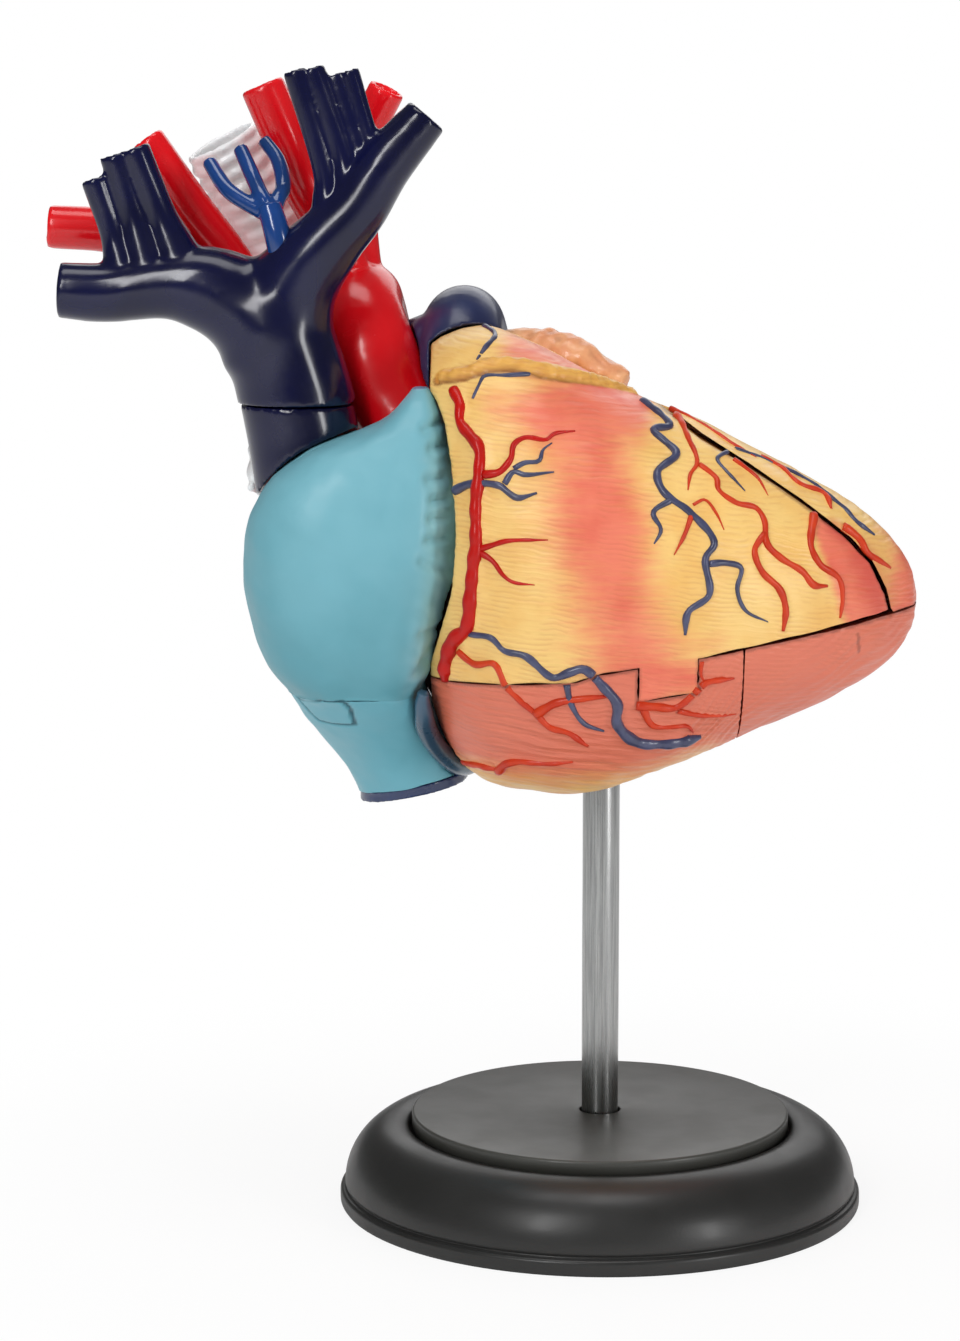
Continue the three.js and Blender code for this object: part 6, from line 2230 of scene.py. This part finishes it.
@dataclass
class Stand:
    """The round base, its disc, its plate and screws underneath, and the rod."""

    paints: Paints
    diameter: float = 85.4
    height: float = 15.0
    rim_height: float = 2.6
    rim_step: float = 0.8
    shoulder_drop: float = 1.7
    wall: float = 2.0
    disc_diameter: float = 61.8
    disc_thickness: float = 3.0
    plate_diameter: float = 75.0
    plate_thickness: float = 1.6
    hub_floor: float = 2.4
    hub_diameter: float = 12.0
    rod_diameter: float = 6.0
    rod_in_heart: float = 14.0
    rod_rounding: float = 0.5
    screws: int = 3
    screw_circle: float = 52.0
    screw_head: float = 5.0
    screw_head_height: float = 1.3
    screw_shank: float = 2.4
    screw_length: float = 8.0
    slot_size: Point = (2.6, 0.5, 1.2)

    def build(self) -> None:
        """Builds every piece of the stand."""
        self.base()
        self.disc()
        self.underside()
        edge = self.rod_rounding
        radius, top = self.rod_diameter / 2 - edge, HEART_HEIGHT + self.rod_in_heart
        foot = self.plate_thickness + self.hub_floor
        low = arc((radius, foot + edge), (edge, edge), -90, 0, 4)
        high = arc((radius, top - edge), (edge, edge), 0, 90, 4)
        rod = turned([(0, foot), *low, *high, (0, top)], 96)
        finished(rod, "steel_rod", self.paints.steel, "rod", base=0.0, body=Body.ROD)

    def standing(self, solid: Solid, name: str, finish: Finish, node: str, sharp: bool = False) -> None:
        """Finishes a piece that stands on the table."""
        finished(solid, name, finish, node, base=0.0, body=Body.STAND, sharp=sharp)

    def base(self) -> None:
        """Builds the base: a flat rim, a bulging ring and a shallow groove round the disc."""
        rim, disc, hub = self.diameter / 2, self.disc_diameter / 2, self.hub_diameter / 2
        shoulder, lip = rim - self.rim_step, self.rim_height + 0.6
        recess, crown = self.height - self.disc_thickness, self.height - self.shoulder_drop
        bore, seat = self.rod_diameter / 2 + CLEARANCE, self.plate_diameter / 2 + CLEARANCE
        roof, foot = recess - self.wall, self.plate_thickness
        ledge, bottom = self.plate_diameter / 2 - 1.8, foot + self.hub_floor
        profile = [
            (0, foot), (hub, foot), (hub, roof), (disc, roof), (ledge, foot + self.wall), (ledge, foot),
            (seat, foot), (seat, 0), (rim - 0.3, 0),
            *arc((rim - 0.6, 0.6), (0.6, 0.6), -60, 0, 4),
            *arc((rim - 0.7, self.rim_height - 0.7), (0.7, 0.7), 0, 80, 6),
            (shoulder - 0.25, self.rim_height + 0.1), (shoulder - 0.3, lip - 0.2),
            *arc((disc + 1.4, lip), (shoulder - disc - 1.4, crown - lip), 0, 84, 28),
            (disc + 0.9, crown - 0.25), (disc + CLEARANCE + 0.15, crown - 0.75),
            (disc + CLEARANCE, crown - 1.1), (disc + CLEARANCE, recess), (bore, recess), (bore, bottom),
            (0, bottom),
        ]
        self.standing(turned(profile, 160), "base_ring", self.paints.black, "base_shell")

    def disc(self) -> None:
        """Builds the satin disc with its small hole for the rod."""
        radius, bore = self.disc_diameter / 2, self.rod_diameter / 2 + CLEARANCE
        low, high = self.height - self.disc_thickness, self.height
        profile = [
            (bore, low), (radius, low), *arc((radius - 0.5, high - 0.5), (0.5, 0.5), 0, 90, 6),
            *arc((bore + 0.3, high - 0.3), (0.3, 0.3), 90, 180, 4), (bore, low),
        ]
        self.standing(turned(profile, 160), "top_disc", self.paints.grey, "base_disc")

    def underside(self) -> None:
        """Builds the plate under the base, with three countersunk screws."""
        radius, thick, arm = self.plate_diameter / 2, self.plate_thickness, self.screw_circle / 2
        angles = [math.pi / 2 + 2 * math.pi * screw / self.screws for screw in range(self.screws)]
        places = [(arm * math.cos(angle), arm * math.sin(angle), 0.0) for angle in angles]
        plate = turned([(0, 0), (radius - 0.3, 0), (radius, 0.3), (radius, thick), (0, thick)])
        plate = carved(plate, *[moved(self.screw(CLEARANCE), place) for place in places])
        self.standing(plate, "under_plate", self.paints.black, "base_underplate", sharp=True)
        length, width, depth = self.slot_size
        for number, place in enumerate(places, start=1):
            cross = carved(slot_bar(self.slot_size), (Cut.ADD, slot_bar((width, length, depth))))
            screw = moved(carved(self.screw(0.0), cross), place)
            name, node = f"plate_screw_{number}", f"underplate_screw_{number}"
            self.standing(screw, name, self.paints.steel, node, sharp=True)

    def screw(self, grow: float) -> Solid:
        """Makes a countersunk screw, head down, larger all round where it is to clear another."""
        head, shank = self.screw_head / 2 + grow, self.screw_shank / 2 + grow
        top = self.screw_length + grow
        side = [(head, -grow), (shank, self.screw_head_height), (shank, top)]
        return turned([(0, -grow), *side, (0, top)], 48)


def moved(body: Solid, way: Point) -> Solid:
    """Moves a body."""
    bmesh.ops.translate(body, verts=body.verts, vec=way)
    return body


def slot_bar(size: Point) -> Solid:
    """Makes a small block at the origin for cutting a slot."""
    bm = bmesh.new()
    bmesh.ops.create_cube(bm, size=1.0)
    bmesh.ops.scale(bm, verts=bm.verts, vec=size)
    return bm


@dataclass
class Studio:
    """The pale floor, the soft lamps and the camera."""

    floor_size: float = 6.0
    sky: float = 0.46
    gloss_sky: float = 0.09
    bright_from: float = 0.06
    bright_to: float = 0.16
    shade: float = 0.86
    floor_tone: float = 0.92
    floor_roughness: float = 0.9
    heart_middle: Point = (-0.01, 0.0, 0.10)

    def build(self) -> None:
        """Sets up the floor, the lamps, the world and the camera."""
        CAMERA.set_up()
        self.floor()
        self.world()
        self.lamp("key", (-0.42, -0.80, 0.62), (0.16, 0.55), 3.6)
        self.lamp("fill", (0.82, -0.75, 0.24), (0.16, 0.50), 3.0)
        self.lamp("top", (-0.05, -0.10, 1.10), (0.6, 0.4), 2.6)
        self.lamp("back", (0.1, 0.9, 0.6), (0.9, 0.6), 2.4)

    def floor(self) -> None:
        """Makes the pale floor, which the camera sees as white with the object's soft shadow."""
        bm = bmesh.new()
        bmesh.ops.create_grid(bm, x_segments=1, y_segments=1, size=self.floor_size / 2)
        mesh = bpy.data.meshes.new("floor")
        bm.to_mesh(mesh)
        bm.free()
        item = bpy.data.objects.new("floor", mesh)
        bpy.context.scene.collection.objects.link(item)
        sketch = NodeSketch("floor_white")
        tone = (self.floor_tone, self.floor_tone, self.floor_tone, 1.0)
        sketch.fixed(base_color=tone, roughness=self.floor_roughness, specular_ior_level=0.1)
        glow = sketch.node("ShaderNodeEmission", {"Color": WHITE, "Strength": 1.0})
        path = sketch.node("ShaderNodeLightPath")
        away = sketch.node("ShaderNodeVectorMath", {0: sketch.places()}, operation="LENGTH").outputs["Value"]
        white = sketch.ramp(away, self.bright_from, self.bright_to, self.shade, 1.0)
        seen = sketch.sum("MULTIPLY", path.outputs["Is Camera Ray"], white)
        mix = sketch.node("ShaderNodeMixShader", {0: seen, 1: sketch.shader.outputs[0], 2: glow.outputs[0]})
        sketch.lead(mix, "Material Output")
        mesh.materials.append(sketch.material)

    def world(self) -> None:
        """Lights the scene softly from all round, and shows white behind it."""
        world = bpy.data.worlds.new("studio")
        bpy.context.scene.world = world
        sketch = Nodes(world)
        soft = sketch.tree.nodes["Background"]
        dim, white = sketch.node("ShaderNodeBackground"), sketch.node("ShaderNodeBackground")
        for shader, strength in ((soft, self.sky), (dim, self.gloss_sky), (white, 1.0)):
            shader.inputs["Color"].default_value = WHITE
            shader.inputs["Strength"].default_value = strength
        path = sketch.node("ShaderNodeLightPath").outputs
        rays = {0: path["Is Camera Ray"], 1: path["Is Transmission Ray"]}
        seen = sketch.node("ShaderNodeMath", rays, operation="MAXIMUM")
        inputs = {0: path["Is Glossy Ray"], 1: soft.outputs[0], 2: dim.outputs[0]}
        gloss = sketch.node("ShaderNodeMixShader", inputs)
        inputs = {0: seen.outputs[0], 1: gloss.outputs[0], 2: white.outputs[0]}
        sketch.lead(sketch.node("ShaderNodeMixShader", inputs), "World Output")

    def lamp(self, name: str, place: Point, size: tuple[float, float], power: float) -> None:
        """Hangs a soft box that faces the heart.

        Args:
            name: The lamp's name.
            place: Its place in metres.
            size: Its width and height in metres.
            power: Its power in watts.
        """
        light = bpy.data.lights.new(name, "AREA")
        light.shape = "RECTANGLE"
        light.size, light.size_y = size
        light.energy = power
        item = bpy.data.objects.new(name, light)
        item.location = place
        way = Vector(self.heart_middle) - Vector(place)
        item.rotation_euler = way.to_track_quat("-Z", "Y").to_euler()
        bpy.context.scene.collection.objects.link(item)


def main() -> None:
    """Builds the model's looks in order."""
    logging.basicConfig(level=logging.INFO, format="%(message)s")
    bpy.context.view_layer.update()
    paints = Paints()
    Studio().build()
    Stand(paints).build()
    vessels = CoronaryVessels(paints)
    Ventricles(paints, vessels).build()
    vessels.build()
    Atria(paints).build()
    GreatArteries(paints).build()
    GreatVeins(paints).build()
    BackOfHeart(paints).build()
    Chambers(paints).build()
    bpy.context.scene.view_settings.view_transform = "Standard"
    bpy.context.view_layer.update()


if __name__ == "__main__":
    main()
